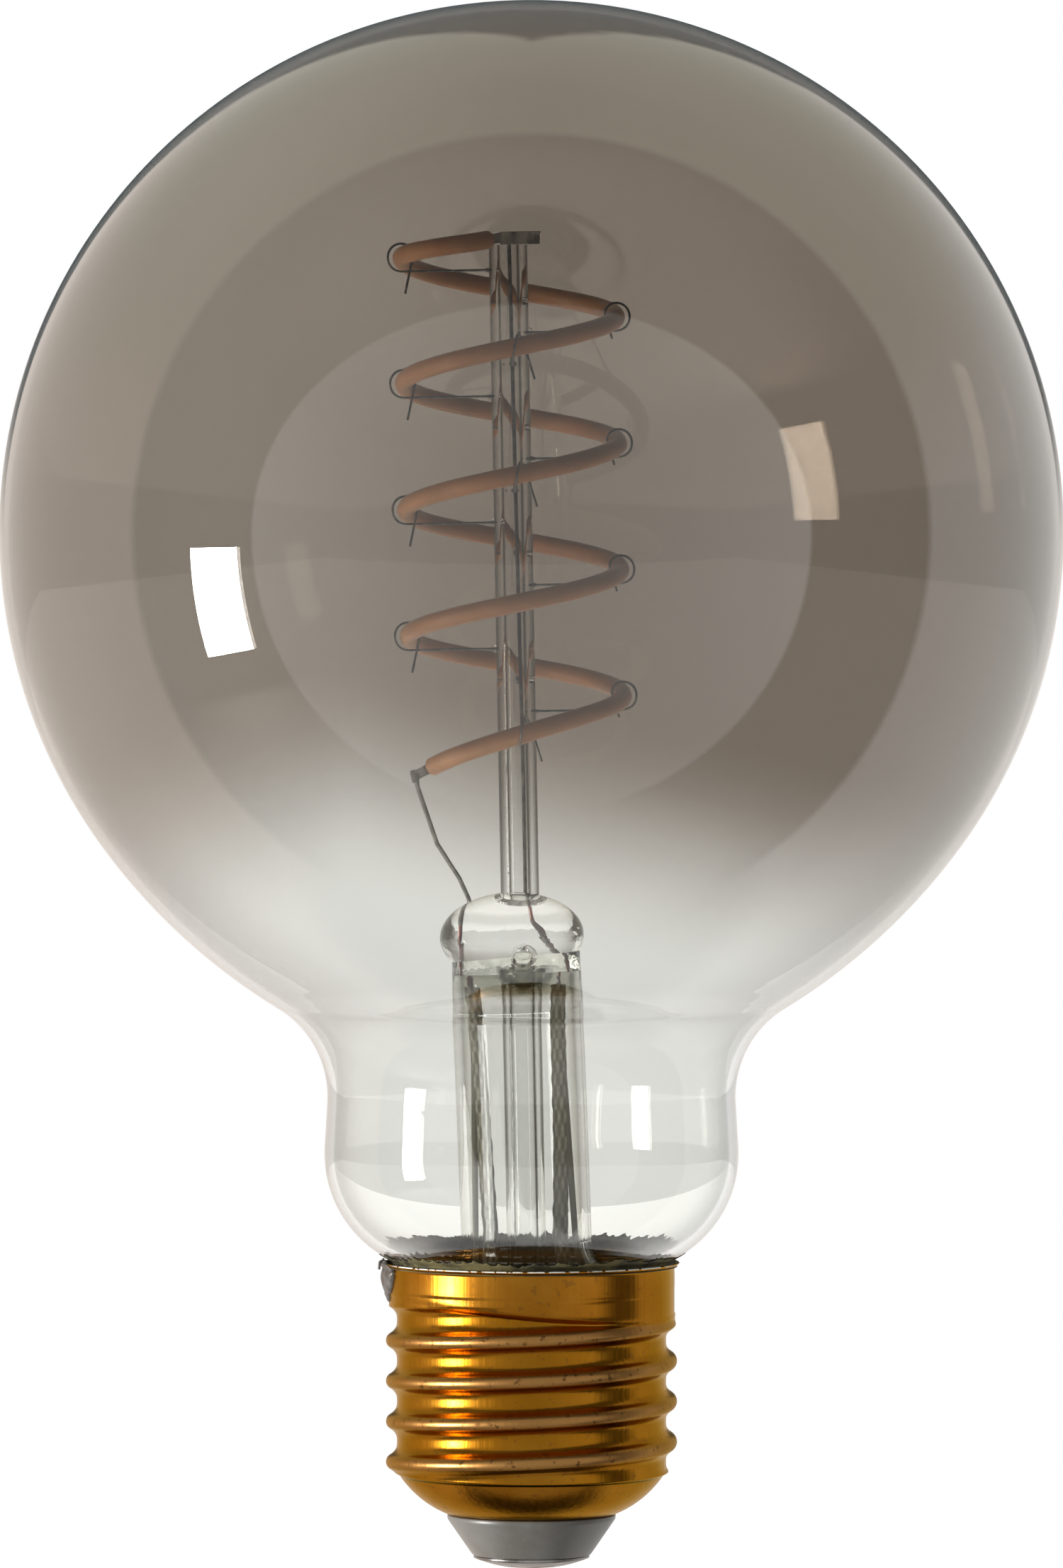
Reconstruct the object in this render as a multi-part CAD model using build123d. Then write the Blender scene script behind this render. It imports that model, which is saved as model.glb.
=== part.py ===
from build123d import *
from math import acos, atan2, cos, degrees, hypot, radians, sin
import os

os.makedirs("parts", exist_ok=True)

# A 95 mm globe bulb with an E27 screw cap. Millimetres, +Z up along the cap's axis,
# origin on the flat of the centre contact, the lowest point of the bulb.

# Glass envelope: a globe, a shoulder arc, a waist, a bulged neck and the sealed end in the cap
GLOBE_R = 47.5
GLOBE_Z = 92.5
SHOULDER_R = 55.0
SHOULDER_FROM = 36.0
WAIST_R = 9.25
WAIST_THIN_R = 18.253
NECK_R = 18.52
NECK_Z = 37.0
NECK_BEND_R = 10.6
NECK_BEND_TO = 67.0
SEAL_BEND_R = 1.5
SEAL_Z = 22.8
GLASS_WALL = 0.8

# E27 cap, rolled from thin brass sheet
BRASS = 0.3
THREAD_PITCH = 3.629
CREST_R = 13.03
ROOT_R = 11.98
CREST_BEND_R = 0.75
ROOT_FLAT = 0.04
CREST_Z_RIGHT = 18.45
THREAD_FROM = -1100.0
THREAD_TO = 400.0
FADE_LOW_Z = 8.3
FADE_LOW_RISE = 0.65
FADE_TOP_Z = 21.4
FADE_TOP_RISE = 1.0
COLLAR_R = 12.8
COLLAR_Z = 23.2
COLLAR_SLOPE = 3.6
COLLAR_BEND_R = 0.8
FLARE_OUT_Z = 26.8
RIM_Z = 27.3
RIM_R = 13.35
DOME_R = 9.25
DOME_TOP_R = 11.9
DOME_TOP_Z = 8.3
DOME_FROM = 33.0
DOME_TO = 69.0
LIP_HOLE_R = 6.9

# Insulating plug and contact
PLUG_TOP_R = 7.55
PLUG_EDGE = 0.4
PLUG_FOOT_R = 5.3
PLUG_FOOT_Z = 1.05
PLUG_INNER_Z = 6.9
CONTACT_R = 5.2
CONTACT_FLAT_R = 2.0
CONTACT_EDGE = 0.25
RIVET_R = 1.2
RIVET_BORE_R = 0.5
RIVET_RISE = 0.7
CONTACT_FLOOR = 0.6

# Cement between glass and cap
CEMENT_LOW_Z = 24.9
CEMENT_TOP_R = 13.9
CEMENT_SKIN = 0.35

# Stem: flare tube, seal ball, exhaust tube and the tube that holds the hooks
STEM_X = -0.475
STEM_Z = 30.0
FLARE_LEAN = 2.12
SUPPORT_LEAN = 1.06
FLARE_TUBE_R = 5.85
FLARE_WALL = 0.85
FLARE_BEND_R = 4.5
FLARE_BEND_Z = 28.8
PRESS_FROM_Z = 50.0
PRESS_TO_Z = 55.0
PRESS_HALF_X = 5.75
PRESS_HALF_Y = 4.7
HOLLOW_TOP_Z = 53.2
HOLLOW_TOP_HALF_X = 4.6
HOLLOW_TOP_HALF_Y = 3.5
BALL_X = -0.3
BALL_Z = 56.5
BALL_HALF_X = 6.45
BALL_HALF_Y = 5.2
BALL_HALF_Z = 3.95
BUBBLE_X = 0.6
BUBBLE_Y = -2.0
BUBBLE_Z = 54.9
BUBBLE_R = 1.2
BUBBLE_HALF_LENGTH = 3.4
EXHAUST_R = 1.75
EXHAUST_BORE_R = 0.95
EXHAUST_TIP_Z = 18.0
SUPPORT_R = 1.725
SUPPORT_BORE_R = 0.8
SUPPORT_FOOT_R = 2.1
SUPPORT_FOOT_H = 0.5
SUPPORT_FOOT_Z = 58.7
SUPPORT_TOP_Z = 118.2

# Spiral filament, its flat ends and the folded strip at the top
COIL_R = 9.5
COIL_PITCH = 11.28
COIL_Z_RIGHT = 77.8
COIL_FROM = -138.5
COIL_TO = 1260.0
COIL_END_R = 4.25
COIL_END_TURN = 143.4
COIL_END_RISE = 1.35
STRIP_R = 0.83
END_BULGE_R = 0.95
END_BULGE_LENGTH = 0.6
TAB_WIDTH = 0.9
TAB_THICK = 0.16
TAB_LOW_LENGTH = 3.2
TAB_TOP_LENGTH = 2.15
PLATE_LEFT = -0.7
PLATE_LENGTH = 3.55
PLATE_HEIGHT = 1.15
PLATE_DEPTH = 1.8
PLATE_SHEET = 0.2
PLATE_CLEARANCE = 0.05

# Hooks of thin wire: height steps follow the filament, quarter turns apart
HOOK_WIRE_R = 0.11
HOOK_RING_R = 1.25
HOOK_BEND_R = 1.2
HOOK_ROOT_R = 1.0
HOOK_TAIL = 2.2
HOOK_TAIL_LEAN = 0.5
HOOK_DRIFT = 0.42
HOOK_DRIFT_FRONT = 1.1

# Wires
LEAD_R = 0.175
OUTER_LEAD_R = 0.25
SLEEVE_R = 0.73
SLEEVE_BORE_R = 0.3
LEAD_BEND_R = 1.2
SEAL_BEND_SMALL_R = 0.5
HIDDEN_WIRE_R = 0.2
SHELL_LEAD_R = 0.12

# Driver in the cap
CAN_R = 9.8
CAN_WALL = 0.5
CAN_TOP_Z = 20.5
BOARD_Z = 14.0
BOARD_THICK = 1.0
LEAD_HOLE_X = 5.0
LEAD_HOLE_CLEARANCE = 0.05
LEAD_STICKS_OUT = 0.6
CAPACITOR_R = 3.15
CAPACITOR_H = 6.6
CAPACITOR_X = 3.2
CAPACITOR_Y = -4.6
RESISTOR_R = 1.2
RESISTOR_H = 4.2
RESISTOR_X = -3.6
RESISTOR_Y = -3.6
RESISTOR_LEG = 0.6
CHIP_LENGTH = 4.9
CHIP_WIDTH = 3.9
CHIP_HEIGHT = 1.5
CHIP_LIFT = 0.15
LEG_LENGTH = 0.9
LEG_WIDTH = 0.45
LEG_THICK = 0.2
CHIP_Y = 4.3
CHIP_X = 3.3

# Solder on the rim
SOLDER_ANGLE = 186.0
SOLDER_Z = 26.4
SOLDER_OUT = 0.75
SOLDER_HALF_W = 2.5
SOLDER_HALF_H = 1.5
DRIP_OUT = 0.4
DRIP_HALF_W = 1.3
DRIP_HALF_H = 2.3


def rz(r, z):
    """A point of a turned section: radius and height."""
    return (r, 0, z)


def outward(angle):
    """Unit normal of a turned section, angle degrees below the horizontal."""
    return cos(radians(angle)), -sin(radians(angle))


def along(centre, radius, angle):
    """Radius and height of the point at a distance from a centre along that normal."""
    n = outward(angle)
    return centre[0] + radius * n[0], centre[1] + radius * n[1]


def arc(centre, radius, a, b):
    """An arc of a turned section from normal angle a to normal angle b."""
    mid = (a + b) / 2
    return ThreePointArc(*[rz(*along(centre, radius, t)) for t in (a, mid, b)])


def turned(edges):
    """A solid of revolution about the bulb's axis from a closed outline."""
    return revolve(make_face(Wire(edges)), Axis.Z)


def turned_points(*points):
    return revolve(make_face(Polyline(*[rz(*p) for p in points], close=True)), Axis.Z)


def ellipsoid(centre, half_x, half_y, half_z):
    return Location(centre) * scale(Sphere(1), by=(half_x, half_y, half_z))


def wire_along(points, bend, radius, bore=0.0):
    """Round wire or tube along straight runs joined by tangent arcs."""
    path = FilletPolyline(*points, radius=bend)
    section = Circle(radius)
    if bore:
        section = section - Circle(bore)
    start = Plane(origin=path @ 0, z_dir=path % 0)
    return sweep(start * section, path=path)


# Envelope outline: every arc keeps its centre when the wall is taken off
shoulder_centre = along((0, GLOBE_Z), GLOBE_R - SHOULDER_R, SHOULDER_FROM)
waist_reach = (WAIST_THIN_R + WAIST_R - shoulder_centre[0]) / (SHOULDER_R + WAIST_R)
SHOULDER_TO = degrees(acos(waist_reach))
waist_centre = along(shoulder_centre, SHOULDER_R + WAIST_R, SHOULDER_TO)
neck_centre = (NECK_R - NECK_BEND_R, NECK_Z)
neck_to_waist = (waist_centre[0] - neck_centre[0], waist_centre[1] - neck_centre[1])
waist_to = (degrees(acos((WAIST_R + NECK_BEND_R) / hypot(*neck_to_waist)))
            - degrees(atan2(neck_to_waist[1], neck_to_waist[0])))
seal_bend_centre = along(neck_centre, NECK_BEND_R + SEAL_BEND_R, NECK_BEND_TO)
SEAL_R = seal_bend_centre[0] - SEAL_BEND_R


def envelope_form(inset, bottom):
    """The filled outline of the glass, moved inwards by inset and open down to bottom."""
    top = GLOBE_R - inset
    waist = WAIST_R + inset
    neck = NECK_BEND_R - inset
    seal = SEAL_BEND_R + inset
    return turned([
        arc((0, GLOBE_Z), top, -90, SHOULDER_FROM),
        arc(shoulder_centre, SHOULDER_R - inset, SHOULDER_FROM, SHOULDER_TO),
        arc(waist_centre, -waist, SHOULDER_TO, waist_to),
        Line(rz(*along(waist_centre, -waist, waist_to)), rz(*along(neck_centre, neck, waist_to))),
        arc(neck_centre, neck, waist_to, NECK_BEND_TO),
        arc(seal_bend_centre, -seal, NECK_BEND_TO, 0),
        Line(rz(SEAL_R - inset, seal_bend_centre[1]), rz(SEAL_R - inset, bottom)),
        Line(rz(SEAL_R - inset, bottom), rz(0, bottom)),
        Line(rz(0, bottom), rz(0, GLOBE_Z + top)),
    ])


glass_outside = envelope_form(0, SEAL_Z)
globe_envelope = glass_outside - envelope_form(GLASS_WALL, SEAL_Z - 1)
SEAL_BORE_R = SEAL_R - GLASS_WALL


# Cap shell: root cylinder, domed bottom, collar and one helical ridge, inside and outside alike
dome_centre = (DOME_TOP_R - DOME_R * cos(radians(DOME_FROM)), DOME_TOP_Z + DOME_R * sin(radians(DOME_FROM)))
FLOOR_Z = along(dome_centre, DOME_R, DOME_TO)[1]
half_pitch = THREAD_PITCH / 2
depth = CREST_R - ROOT_R
ROOT_BEND_R = (depth ** 2 + half_pitch ** 2) / (2 * depth) - CREST_BEND_R


def cap_core(inset):
    """Domed bottom and root cylinder."""
    radius = DOME_R - inset
    floor = along(dome_centre, radius, DOME_TO)
    top = along(dome_centre, radius, DOME_FROM)
    wall = ROOT_R + ROOT_FLAT - inset
    return turned([
        Line(rz(0, floor[1]), rz(*floor)),
        arc(dome_centre, radius, DOME_TO, DOME_FROM),
        Line(rz(*top), rz(wall, top[1])),
        Line(rz(wall, top[1]), rz(wall, FLARE_OUT_Z)),
        Line(rz(wall, FLARE_OUT_Z), rz(0, FLARE_OUT_Z)),
        Line(rz(0, FLARE_OUT_Z), rz(0, floor[1])),
    ])


def cap_collar(inset, top):
    """Plain collar with its turned-out rim, cut off below by the sloping shoulder of the thread."""
    rise = RIM_Z - FLARE_OUT_Z
    spread = (RIM_R - COLLAR_R) / rise
    low = COLLAR_Z - 4 * depth
    section = turned_points(
        (0, low), (COLLAR_R - inset, low), (COLLAR_R - inset, FLARE_OUT_Z),
        (COLLAR_R - inset + spread * (top - FLARE_OUT_Z), top), (0, top))
    shoulder = Plane(origin=(0, 0, COLLAR_Z + inset)).rotated((0, COLLAR_SLOPE, 0))
    collar = split(section, bisect_by=shoulder, keep=Keep.TOP)
    edge = collar.edges().sort_by(Axis.Z)[0]
    return fillet(edge, COLLAR_BEND_R - inset)


def thread_ridge(inset):
    """One helical ridge: a crest arc between two hollow flanks, faded out at both ends."""
    crest_c = (CREST_R - CREST_BEND_R, 0)
    root_c = (ROOT_R + ROOT_BEND_R, half_pitch)
    tilt = atan2(root_c[1], root_c[0] - crest_c[0])
    crest = CREST_BEND_R - inset
    root = ROOT_BEND_R + inset
    join = (crest_c[0] + crest * cos(tilt), crest * sin(tilt))
    end_angle = acos((root - ROOT_FLAT) / root) / 3
    flank_end = (root_c[0] - root * cos(end_angle), half_pitch - root * sin(end_angle))
    middle = (tilt + end_angle) / 2
    flank_mid = (root_c[0] - root * cos(middle), half_pitch - root * sin(middle))
    inner = ROOT_R - inset - depth / 2

    def local(p, side=1):
        return (p[0] - ROOT_R, side * p[1])

    outline = Wire([
        ThreePointArc(local(join, -1), local((crest_c[0] + crest, 0)), local(join)),
        ThreePointArc(local(join), local(flank_mid), local(flank_end)),
        Line(local(flank_end), local((inner, flank_end[1]))),
        Line(local((inner, flank_end[1])), local((inner, flank_end[1]), -1)),
        Line(local((inner, flank_end[1]), -1), local(flank_end, -1)),
        ThreePointArc(local(flank_end, -1), local(flank_mid, -1), local(join, -1)),
    ])
    turns = (THREAD_TO - THREAD_FROM) / 360
    path = Helix(pitch=THREAD_PITCH, height=turns * THREAD_PITCH, radius=ROOT_R)
    start = Plane(origin=path @ 0, x_dir=(1, 0, 0), z_dir=path % 0)
    ridge = sweep(start * make_face(outline), path=path, is_frenet=True)
    foot_z = CREST_Z_RIGHT + THREAD_PITCH * THREAD_FROM / 360
    ridge = Location((0, 0, foot_z)) * Rotation(0, 0, THREAD_FROM) * ridge
    low = FADE_LOW_Z + inset
    limit = turned_points(
        (0, low), (ROOT_R + ROOT_FLAT - inset, low), (CREST_R + ROOT_FLAT - inset, low + FADE_LOW_RISE),
        (CREST_R + ROOT_FLAT - inset, FADE_TOP_Z),
        (COLLAR_R - ROOT_FLAT - inset, FADE_TOP_Z + FADE_TOP_RISE),
        (COLLAR_R - ROOT_FLAT - inset, FLARE_OUT_Z), (0, FLARE_OUT_Z))
    return ridge & limit


def cap_form(inset, top):
    return cap_core(inset) + cap_collar(inset, top) + thread_ridge(inset)


cap_outside = cap_form(0, RIM_Z)
cap_inside = cap_form(BRASS, RIM_Z + 1)
lip_hole = Location((0, 0, FLOOR_Z)) * Cylinder(LIP_HOLE_R, 4 * BRASS)
cap_shell = cap_outside - cap_inside - lip_hole


# Insulating plug: fills the dome inside, grips the lip and tapers to the contact outside
plug_outside = turned_points(
    (0, PLUG_FOOT_Z), (PLUG_FOOT_R, PLUG_FOOT_Z), (PLUG_TOP_R, FLOOR_Z - PLUG_EDGE),
    (PLUG_TOP_R, FLOOR_Z), (LIP_HOLE_R, FLOOR_Z), (LIP_HOLE_R, FLOOR_Z + 2 * BRASS), (0, FLOOR_Z + 2 * BRASS))
slab = turned_points((0, FLOOR_Z), (COLLAR_R, FLOOR_Z), (COLLAR_R, PLUG_INNER_Z), (0, PLUG_INNER_Z))
plug_inside = cap_core(BRASS) & slab
rivet_hole = turned_points((0, 0), (RIVET_R, 0), (RIVET_R, PLUG_INNER_Z + 1), (0, PLUG_INNER_Z + 1))
cap_insulator = plug_outside + plug_inside - rivet_hole

RIVET_TOP_Z = PLUG_INNER_Z + RIVET_RISE
contact_edge_z = PLUG_FOOT_Z - CONTACT_EDGE
contact_mid_r = (CONTACT_FLAT_R + CONTACT_R) / 2
centre_contact = turned([
    Line(rz(0, 0), rz(CONTACT_FLAT_R, 0)),
    ThreePointArc(rz(CONTACT_FLAT_R, 0), rz(contact_mid_r, contact_edge_z / 3), rz(CONTACT_R, contact_edge_z)),
    Line(rz(CONTACT_R, contact_edge_z), rz(CONTACT_R, PLUG_FOOT_Z)),
    Line(rz(CONTACT_R, PLUG_FOOT_Z), rz(RIVET_R, PLUG_FOOT_Z)),
    Line(rz(RIVET_R, PLUG_FOOT_Z), rz(RIVET_R, RIVET_TOP_Z)),
    Line(rz(RIVET_R, RIVET_TOP_Z), rz(RIVET_BORE_R, RIVET_TOP_Z)),
    Line(rz(RIVET_BORE_R, RIVET_TOP_Z), rz(RIVET_BORE_R, CONTACT_FLOOR)),
    Line(rz(RIVET_BORE_R, CONTACT_FLOOR), rz(0, CONTACT_FLOOR)),
    Line(rz(0, CONTACT_FLOOR), rz(0, 0)),
])


# Frames of the stem: the flare leans a little more than the tubes on its axis
def leaning(angle):
    return Location((STEM_X, 0, STEM_Z)) * Rotation(0, -angle, 0) * Location((0, 0, -STEM_Z))


flare_frame = leaning(FLARE_LEAN)
support_frame = leaning(SUPPORT_LEAN)


def placed(frame, point):
    """A point of a leaning frame in the bulb's own frame."""
    return (frame * Location(point)).position


def press(z_low, half_low, z_high, half_x, half_y):
    """The stretch of tube that the seal squeezes from round to oval."""
    low = Location((0, 0, z_low)) * Circle(half_low)
    high = Location((0, 0, z_high)) * Ellipse(half_x, half_y)
    return loft([low, high])


FLARE_BORE_R = FLARE_TUBE_R - FLARE_WALL
rim_reach = SEAL_BORE_R + 1
bend_centre = (FLARE_TUBE_R + FLARE_BEND_R, FLARE_BEND_Z)
flare_under_z = FLARE_BEND_Z - FLARE_BEND_R - FLARE_WALL
flare_skirt = turned([
    Line(rz(FLARE_BORE_R, PRESS_FROM_Z), rz(FLARE_TUBE_R, PRESS_FROM_Z)),
    Line(rz(FLARE_TUBE_R, PRESS_FROM_Z), rz(FLARE_TUBE_R, FLARE_BEND_Z)),
    arc(bend_centre, -FLARE_BEND_R, 0, -90),
    Line(rz(bend_centre[0], FLARE_BEND_Z - FLARE_BEND_R), rz(rim_reach, FLARE_BEND_Z - FLARE_BEND_R)),
    Line(rz(rim_reach, FLARE_BEND_Z - FLARE_BEND_R), rz(rim_reach, flare_under_z)),
    Line(rz(rim_reach, flare_under_z), rz(bend_centre[0], flare_under_z)),
    arc(bend_centre, -FLARE_BEND_R - FLARE_WALL, -90, 0),
    Line(rz(FLARE_BORE_R, FLARE_BEND_Z), rz(FLARE_BORE_R, PRESS_FROM_Z)),
])
ball = ellipsoid((BALL_X, 0, BALL_Z), BALL_HALF_X, BALL_HALF_Y, BALL_HALF_Z)
neck_of_press = press(PRESS_FROM_Z, FLARE_TUBE_R, PRESS_TO_Z, PRESS_HALF_X, PRESS_HALF_Y)
hollow = press(PRESS_FROM_Z, FLARE_BORE_R, HOLLOW_TOP_Z, HOLLOW_TOP_HALF_X, HOLLOW_TOP_HALF_Y)
bubble_half = Ellipse(BUBBLE_R, BUBBLE_HALF_LENGTH) & Location((BUBBLE_R, 0)) * Rectangle(
    2 * BUBBLE_R, 3 * BUBBLE_HALF_LENGTH)
bubble = Location((BUBBLE_X, BUBBLE_Y, BUBBLE_Z)) * revolve(bubble_half, Axis.Y)
stem_blank = flare_frame * (flare_skirt + (neck_of_press + ball - hollow - bubble))

support_tube = support_frame * turned_points(
    (SUPPORT_BORE_R, SUPPORT_FOOT_Z), (SUPPORT_FOOT_R, SUPPORT_FOOT_Z),
    (SUPPORT_FOOT_R, SUPPORT_FOOT_Z + SUPPORT_FOOT_H / 2), (SUPPORT_R, SUPPORT_FOOT_Z + SUPPORT_FOOT_H),
    (SUPPORT_R, SUPPORT_TOP_Z), (SUPPORT_BORE_R, SUPPORT_TOP_Z))
exhaust_end_z = HOLLOW_TOP_Z + EXHAUST_BORE_R / 4
exhaust_blank = support_frame * turned([
    Line(rz(0, exhaust_end_z), rz(EXHAUST_R, exhaust_end_z)),
    Line(rz(EXHAUST_R, exhaust_end_z), rz(EXHAUST_R, EXHAUST_TIP_Z + EXHAUST_R)),
    arc((0, EXHAUST_TIP_Z + EXHAUST_R), EXHAUST_R, 0, 90),
    Line(rz(0, EXHAUST_TIP_Z), rz(0, exhaust_end_z)),
])
exhaust_bore = support_frame * turned([
    Line(rz(0, BUBBLE_Z), rz(EXHAUST_BORE_R, BUBBLE_Z)),
    Line(rz(EXHAUST_BORE_R, BUBBLE_Z), rz(EXHAUST_BORE_R, EXHAUST_TIP_Z + EXHAUST_R)),
    arc((0, EXHAUST_TIP_Z + EXHAUST_R), EXHAUST_BORE_R, 0, 90),
    Line(rz(0, EXHAUST_TIP_Z + EXHAUST_R - EXHAUST_BORE_R), rz(0, BUBBLE_Z)),
])
exhaust_tube = exhaust_blank - exhaust_bore


# Seal wires and leads. The left ones feed the filament's low end, the right ones its top end.
seal_low_z = HOLLOW_TOP_Z - 0.8
left_joint = placed(flare_frame, (-4.0, 0, 57.0))
left_out = placed(flare_frame, (-3.9, 0, seal_low_z))
left_mid = placed(flare_frame, (-4.0, 0, 54.6))
right_joint = placed(support_frame, (0.5, 0, 58.5))
right_out = placed(flare_frame, (3.6, 0, seal_low_z))
right_route = [placed(flare_frame, p) for p in ((1.2, 0, 56.9), (2.9, 0, 55.7), (3.6, 0, 54.3))]
seal_wire_left = wire_along([left_joint, left_mid, left_out], SEAL_BEND_SMALL_R, LEAD_R)
seal_wire_right = wire_along([right_joint, *right_route, right_out], SEAL_BEND_SMALL_R, LEAD_R)

coil_low_z = COIL_Z_RIGHT + COIL_PITCH * COIL_FROM / 360
coil_top_z = COIL_Z_RIGHT + COIL_PITCH * COIL_TO / 360


def on_coil(angle):
    """Height of the filament's middle at a turn angle."""
    return COIL_Z_RIGHT + COIL_PITCH * angle / 360


# Filament: the long helix, then a tighter quarter turn in towards the support tube
coil_path = Location((0, 0, coil_low_z)) * Rotation(0, 0, COIL_FROM) * Helix(
    pitch=COIL_PITCH, height=coil_top_z - coil_low_z, radius=COIL_R)
end_pitch = COIL_END_RISE * 360 / COIL_END_TURN
end_path = Location((COIL_END_R - COIL_R, 0, coil_top_z)) * Rotation(0, 0, COIL_TO) * Helix(
    pitch=end_pitch, height=COIL_END_RISE, radius=COIL_END_R)


low_end = coil_path @ 0
low_way = coil_path % 0
top_end = end_path @ 1
top_way = end_path % 1
strip_path = Wire([coil_path.edges()[0], end_path.edges()[0]])
low_start = Plane(origin=low_end, z_dir=low_way)
strip = sweep(low_start * Circle(STRIP_R), path=strip_path, is_frenet=True)
low_bulge = low_start * (Location((0, 0, -END_BULGE_LENGTH / 2)) * Cylinder(END_BULGE_R, END_BULGE_LENGTH))
low_tip = low_end - low_way * END_BULGE_LENGTH
spiral_filament = support_frame * (strip + low_bulge)


def flat_tab(origin, way, length):
    """Flat strip on edge that runs on from an end of the filament."""
    plane = Plane(origin=origin, x_dir=Vector(way.Y, -way.X, 0), z_dir=way)
    return plane * (Location((0, 0, length / 2)) * Box(TAB_THICK, TAB_WIDTH, length))


filament_tab_bottom = support_frame * flat_tab(low_tip, low_way * -1, TAB_LOW_LENGTH)
plate_z = SUPPORT_TOP_Z + PLATE_CLEARANCE
plate_front_y = -SUPPORT_BORE_R
top_plate_local = (
    Location((PLATE_LEFT + PLATE_LENGTH / 2, plate_front_y, plate_z + PLATE_HEIGHT / 2))
    * Box(PLATE_LENGTH, PLATE_SHEET, PLATE_HEIGHT)
    + Location((PLATE_LEFT + PLATE_LENGTH / 2 + PLATE_SHEET, plate_front_y + PLATE_DEPTH / 2 - PLATE_SHEET / 2,
                plate_z + PLATE_HEIGHT - PLATE_SHEET / 2))
    * Box(PLATE_LENGTH - PLATE_SHEET, PLATE_DEPTH, PLATE_SHEET))
top_plate = support_frame * top_plate_local
filament_tab_top = support_frame * flat_tab(top_end, top_way, TAB_TOP_LENGTH) - top_plate

upper_route = [(0.5, 0, 70.0), (0.3, 0, 94.0), (0.1, 0, plate_z + PLATE_HEIGHT - PLATE_SHEET)]
upper_lead = wire_along([right_joint, *[placed(support_frame, p) for p in upper_route]], 30.0, LEAD_R)

knob = low_tip - low_way * (TAB_LOW_LENGTH - TAB_WIDTH / 2)
knob_side = Vector(low_way.Y, -low_way.X, 0).normalized() * (TAB_THICK / 2 + LEAD_R)
lead_top = placed(support_frame, knob + knob_side + Vector(0, 0, TAB_WIDTH / 2))
lead_under = placed(support_frame, knob + knob_side - Vector(0, 0, TAB_WIDTH))
lower_route = [placed(support_frame, p) for p in ((-7.2, -1.9, 65.6), (-5.3, -0.7, 62.2))]
left_entry = placed(flare_frame, (-4.0, 0, 59.9))
lower_lead = wire_along([lead_top, lead_under, *lower_route, left_entry, left_joint], 0.8, LEAD_R)

seal_bore = turned_points(
    (0, SEAL_Z), (SEAL_BORE_R, SEAL_Z), (SEAL_BORE_R, BALL_Z + GLOBE_R), (0, BALL_Z + GLOBE_R))
stem_flare = (stem_blank - exhaust_blank - exhaust_bore) & seal_bore
stem_flare = stem_flare - support_tube - seal_wire_left - seal_wire_right - lower_lead - upper_lead


# Outer leads run down inside the flare to the board, each in a braided sleeve
board_top_z = BOARD_Z + BOARD_THICK


def outer_lead(top, waypoints, hole_x):
    foot = Vector(hole_x, 0, BOARD_Z - LEAD_STICKS_OUT)
    above = Vector(hole_x, 0, board_top_z + 2 * SLEEVE_R)
    route = [top, *[Vector(*p) for p in waypoints], above, foot]
    return wire_along(route, LEAD_BEND_R, OUTER_LEAD_R)


def lead_sleeve(top, waypoints, hole_x):
    start = top + (Vector(*waypoints[0]) - top).normalized() * SLEEVE_R
    above = Vector(hole_x, 0, board_top_z + 2 * SLEEVE_R)
    end = Vector(hole_x, 0, board_top_z + SLEEVE_R / 3)
    route = [start, *[Vector(*p) for p in waypoints], above, end]
    return wire_along(route, LEAD_BEND_R, SLEEVE_R, SLEEVE_BORE_R)


left_way = [(-4.45, 0.2, 41.0), (-3.65, 0.1, 29.5), (-3.95, 0, 23.0)]
right_way = [(2.65, 0.2, 37.5), (2.6, 0.1, 29.5), (3.3, 0, 23.0)]
outer_lead_left = outer_lead(left_out, left_way, -LEAD_HOLE_X)
outer_lead_right = outer_lead(right_out, right_way, LEAD_HOLE_X)
lead_sleeve_left = lead_sleeve(left_out, left_way, -LEAD_HOLE_X)
lead_sleeve_right = lead_sleeve(right_out, right_way, LEAD_HOLE_X)


# Hooks: a stem out of the support tube, an open ring round the filament and a hanging tail
def hook(angle, drift=HOOK_DRIFT, tail=HOOK_TAIL):
    near, far = COIL_R - HOOK_RING_R, COIL_R + HOOK_RING_R
    start = -drift / 2
    route = [
        (HOOK_ROOT_R, start, -HOOK_RING_R), (far, start, -HOOK_RING_R),
        (far, start + drift / 3, HOOK_RING_R), (near, start + 2 * drift / 3, HOOK_RING_R),
        (near - HOOK_TAIL_LEAN, start + drift * 1.2, -HOOK_RING_R - tail)]
    return Location((0, 0, on_coil(angle))) * Rotation(0, 0, angle) * wire_along(route, HOOK_BEND_R, HOOK_WIRE_R)


hook_turns = {
    "hooks_right": [360 * turn for turn in (0, 1, 2, 3)],
    "hooks_left": [360 * turn + 180 for turn in (0, 1, 2, 3)],
    "hooks_back": [360 * turn + 90 for turn in (0, 1, 2, 3)],
    "hooks_front": [360 * turn - 90 for turn in (0, 2, 3)],
}
hooks = {}
for name, turns in hook_turns.items():
    drift = HOOK_DRIFT_FRONT if name == "hooks_front" else HOOK_DRIFT
    hooks[name] = [support_frame * hook(turn, drift) for turn in turns]
root_length = SUPPORT_R - HOOK_ROOT_R
for name, turns in hook_turns.items():
    drift = HOOK_DRIFT_FRONT if name == "hooks_front" else HOOK_DRIFT
    for turn in turns:
        pocket = Location((HOOK_ROOT_R + root_length, -drift / 2, -HOOK_RING_R)) * Rotation(0, 90, 0) * Cylinder(
            HOOK_WIRE_R, 2 * root_length)
        support_tube = support_tube - support_frame * (
            Location((0, 0, on_coil(turn))) * Rotation(0, 0, turn) * pocket)


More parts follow.
